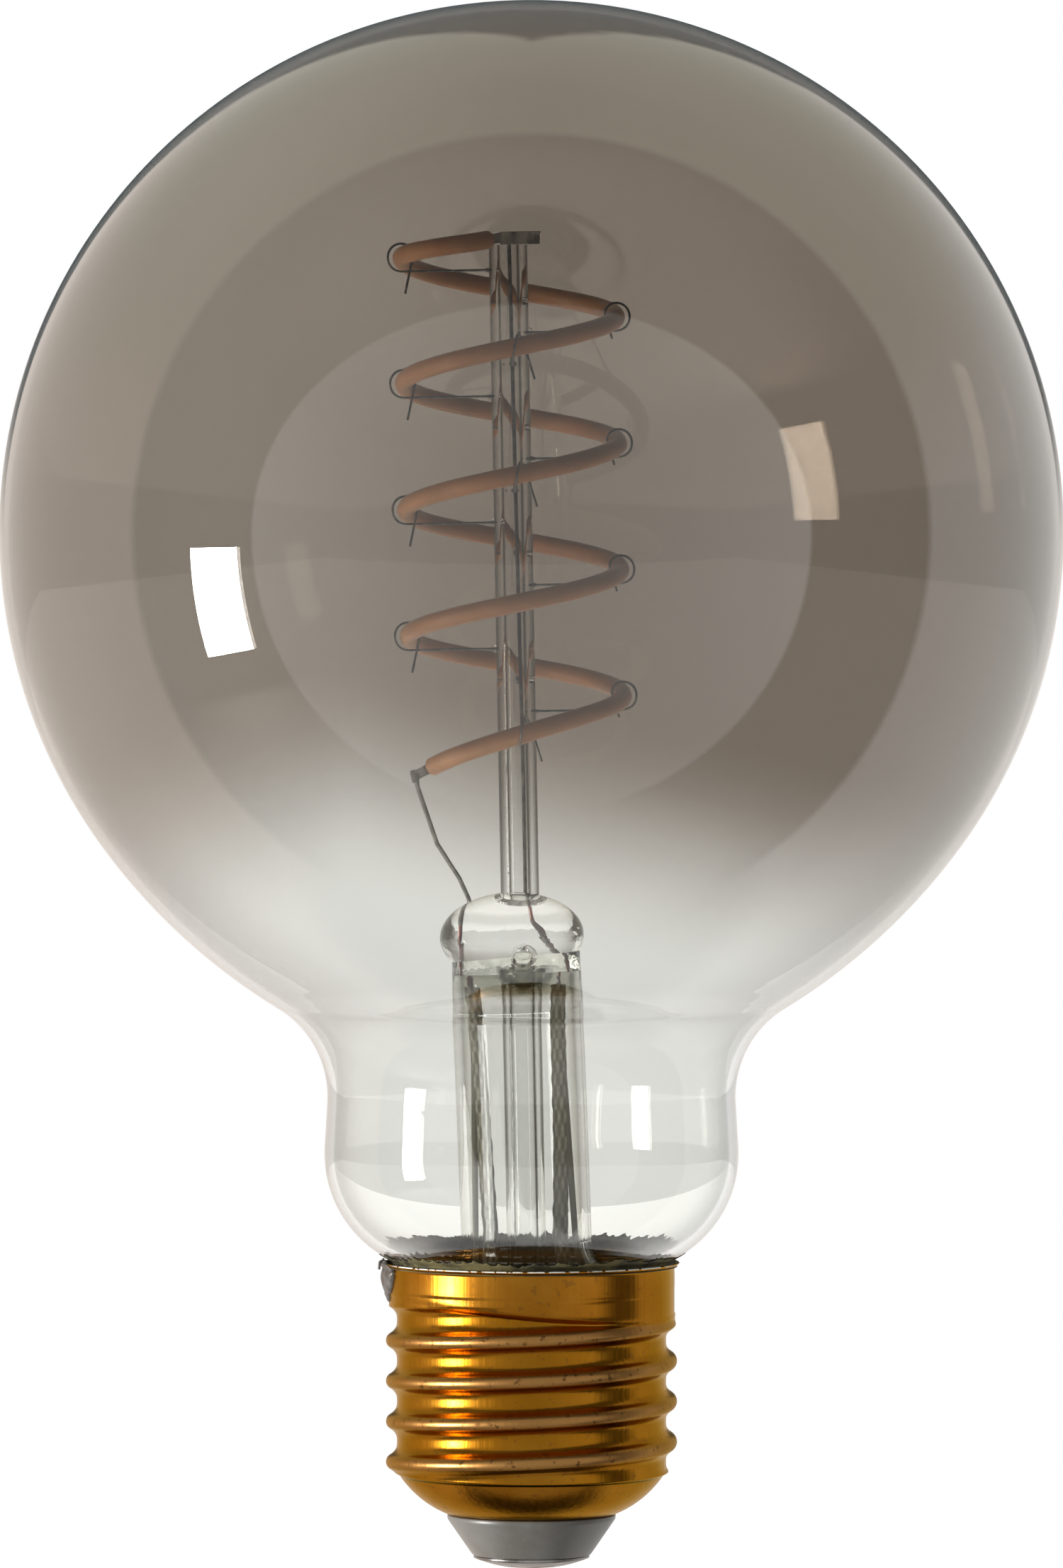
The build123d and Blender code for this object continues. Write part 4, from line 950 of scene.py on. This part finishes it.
# Insulator and contact.
# A grey moulded plug snapped into the dome carries the tinned centre contact, whose rivet is hollow and
# takes the contact lead. The contact's edge is tarnished red-brown.
DOME_FLOOR_Z = dome_floor[1]
PLUG_TOP_R = 7.55
PLUG_FOOT_R = 5.3
PLUG_FOOT_Z = 1.05
PLUG_EDGE = 0.4
PLUG_INNER_Z = 6.9
PLUG_INNER_R = 10.2
PLUG_STEP_R = 9.0
PLUG_STEP_RISE = 1.2
PLUG_BEND = 0.16
PLUG_AROUND = 144
CONTACT_R = 5.2
CONTACT_FLAT_R = 2.0
CONTACT_EDGE = 0.25
CONTACT_STEPS = 10
CONTACT_CURVE = 1.6
CONTACT_AROUND = 120
RIVET_R = 1.2
RIVET_BORE_R = 0.5
RIVET_RISE = 0.7
CONTACT_FLOOR = 0.6


def softened(points, bend, steps=4):
    """A turned outline with its corners rounded."""
    done = []
    count = len(points)
    for i, corner in enumerate(points):
        before, after = Vector((*points[i - 1], 0)), Vector((*points[(i + 1) % count], 0))
        corner = Vector((*corner, 0))
        a, b = before - corner, after - corner
        if corner.x < 1e-6 or a.length < 1e-6 or b.length < 1e-6:
            done.append((corner.x, corner.y))
            continue
        reach = min(bend, a.length / 2.2, b.length / 2.2)
        p, q = corner + a.normalized() * reach, corner + b.normalized() * reach
        for k in range(steps + 1):
            t = k / steps
            v = p * (1 - t) ** 2 + corner * 2 * t * (1 - t) + q * t ** 2
            done.append((v.x, v.y))
    return done


plug_outline = softened([
    (RIVET_R, PLUG_FOOT_Z), (PLUG_FOOT_R, PLUG_FOOT_Z), (PLUG_TOP_R, DOME_FLOOR_Z - PLUG_EDGE),
    (PLUG_TOP_R, DOME_FLOOR_Z), (LIP_HOLE_R, DOME_FLOOR_Z), (LIP_HOLE_R, DOME_FLOOR_Z + BRASS),
    (PLUG_STEP_R, DOME_FLOOR_Z + PLUG_STEP_RISE), (PLUG_INNER_R, PLUG_INNER_Z),
    (RIVET_R, PLUG_INNER_Z)], PLUG_BEND)
grey_plug = grained(
    "grey_moulding", (0.1, 0.094, 0.082), (0.13, 0.125, 0.114), (0.25, 0.38), scale=260.0, relief=0.08)[0]
show("insulating_plug", lathe("insulating_plug", plug_outline, PLUG_AROUND), "cap_insulator", grey_plug,
     "cap_insulator")

contact_edge_z = PLUG_FOOT_Z - CONTACT_EDGE
shares = [k / CONTACT_STEPS for k in range(CONTACT_STEPS + 1)]
domed = [(CONTACT_FLAT_R + (CONTACT_R - CONTACT_FLAT_R) * s, contact_edge_z * s ** CONTACT_CURVE) for s in shares]
contact_outline = [(0, 0)] + domed + [
    (CONTACT_R, PLUG_FOOT_Z), (RIVET_R, PLUG_FOOT_Z), (RIVET_R, PLUG_INNER_Z + RIVET_RISE),
    (RIVET_BORE_R, PLUG_INNER_Z + RIVET_RISE), (RIVET_BORE_R, CONTACT_FLOOR), (0, CONTACT_FLOOR)]
tinned, n, metal = grained(
    "tinned_contact", (0.2, 0.185, 0.175), (0.34, 0.32, 0.31), (0.25, 0.45), scale=700.0, relief=0.25, Metallic=0.9)
tip_height = n.add("ShaderNodeSeparateXYZ", Vector=n.add("ShaderNodeTexCoord").outputs["Object"]).outputs["Z"]
tin_tone = metal.inputs["Base Color"].links[0].from_socket
n.put(metal, "Base Color", n.mix(n.between(tip_height, 0.0001, 0.0004), (0.16, 0.06, 0.045), tin_tone))
contact_mesh = lathe("tinned_contact", contact_outline, CONTACT_AROUND, closed=False)
show("tinned_contact", contact_mesh, "contact_metal", tinned, "centre_contact")


# Cap cement.
# Phenolic cement squeezed out between glass and cap and baked. It ends in a torn edge on the glass, olive
# brown with paler crumbs.
CEMENT_FOOT_Z = 26.9
CEMENT_EDGE_Z = 27.95
CEMENT_AROUND = 480
CEMENT_ROWS = 9
CEMENT_TEAR = 0.34
CEMENT_DIP = 0.2
CEMENT_MOUTH_R = 13.05


def ragged(angle):
    """A torn edge line: the sum of a few uneven waves, about -1 to 1."""
    return (0.35 * sin(5 * angle) + 0.3 * sin(13 * angle + 1.7) + 0.2 * sin(31 * angle)
            + 0.45 * sin(57 * angle + 2.1) * sin(23 * angle) + 0.35 * sin(119 * angle) * sin(41 * angle))


glass_side = sorted((z, r) for r, z in envelope_outline(0) if z < NECK_Z - 4)


def glass_radius(z):
    for (z0, r0), (z1, r1) in zip(glass_side, glass_side[1:]):
        if z0 <= z <= z1:
            return r0 + (r1 - r0) * (z - z0) / (z1 - z0)
    return glass_side[0][1]


def cement_mesh():
    verts = []
    for k in range(2 * CEMENT_ROWS):
        outer = k < CEMENT_ROWS
        share = (k if outer else 2 * CEMENT_ROWS - 1 - k) / (CEMENT_ROWS - 1)
        for i in range(CEMENT_AROUND):
            a = 2 * pi * i / CEMENT_AROUND
            edge = CEMENT_EDGE_Z + CEMENT_TEAR * ragged(a)
            z = CEMENT_FOOT_Z + (edge - CEMENT_FOOT_Z) * share
            wall = glass_radius(z)
            thick = max(0.14, CEMENT_MOUTH_R - wall - 0.25 * share)
            thick = thick * (1 - 0.75 * share) + 0.03 * ragged(3 * a + z) * share
            r = wall + max(0.12, thick) if outer else wall - CEMENT_DIP
            verts.append((r * cos(a) * MM, r * sin(a) * MM, z * MM))
    return ring_mesh("cement_ring", verts, CEMENT_AROUND)


cement = grained(
    "baked_cement", (0.02, 0.017, 0.004), (0.11, 0.09, 0.03), (0.6, 0.9), scale=420.0, relief=0.6)[0]
show("cement_ring", cement_mesh(), "cement", cement, "cap_cement")


# Rim solder.
# The end of the shell lead is soldered to the collar at the left. The blob ran down in a teardrop, dull grey
# with a rusty flux edge and a paler middle.
SOLDER_ANGLE = 186.0
SOLDER_TOP_Z = 27.7
SOLDER_LOW_Z = 24.0
SOLDER_OUT = 0.75
SOLDER_HALF_W = 2.4
SOLDER_MIDDLE_Z = 26.2
SOLDER_SINK = 0.08
SOLDER_AROUND = 64
SOLDER_ROWS = 22


def solder_mesh():
    around, rows = SOLDER_AROUND, SOLDER_ROWS
    centre = radians(SOLDER_ANGLE)

    def spot(share, t, lift):
        drop = SOLDER_TOP_Z - SOLDER_MIDDLE_Z if sin(t) > 0 else SOLDER_MIDDLE_Z - SOLDER_LOW_Z
        narrow = 1.0 if sin(t) > 0 else 1.0 - 0.45 * sin(t) ** 2
        wave = 1 + 0.07 * sin(3 * t + 0.5) + 0.05 * sin(7 * t)
        across = SOLDER_HALF_W * narrow * cos(t) * share * wave
        z = SOLDER_MIDDLE_Z + drop * sin(t) * share * wave
        angle = centre + across / COLLAR_R
        rise = -SOLDER_SINK
        if lift:
            rise = SOLDER_OUT * sqrt(max(0.0, 1 - share ** 2)) * (0.85 + 0.15 * sin(2.0 * z))
        base = min(cap_radius(angle, min(z, RIM_Z - 0.1)), RIM_R)
        r = base + (rise if z < RIM_Z else rise * 0.75)
        return (r * cos(angle) * MM, r * sin(angle) * MM, z * MM)

    verts, faces = [spot(0.0, 0.5, True)], []
    for lift, order in ((True, range(1, rows + 1)), (False, range(rows, 0, -1))):
        for k in order:
            for i in range(around):
                verts.append(spot(k / rows, 2 * pi * i / around, lift))
    verts.append(spot(0.0, 0.5, False))
    last = len(verts) - 1
    for i in range(around):
        j = (i + 1) % around
        faces.append((0, 1 + i, 1 + j))
        foot = 1 + (2 * rows - 1) * around
        faces.append((last, foot + j, foot + i))
        for k in range(2 * rows - 1):
            a = 1 + k * around
            faces.append((a + i, a + around + i, a + around + j, a + j))
    return smooth_mesh("solder_blob", verts, faces)


solder = grained(
    "dull_solder", (0.05, 0.035, 0.025), (0.17, 0.16, 0.15), (0.35, 0.6), scale=500.0, relief=0.4, Metallic=0.75)[0]
show("solder_blob", solder_mesh(), "solder", solder, "rim_solder")
finish_nodes(solder, "shell_lead")
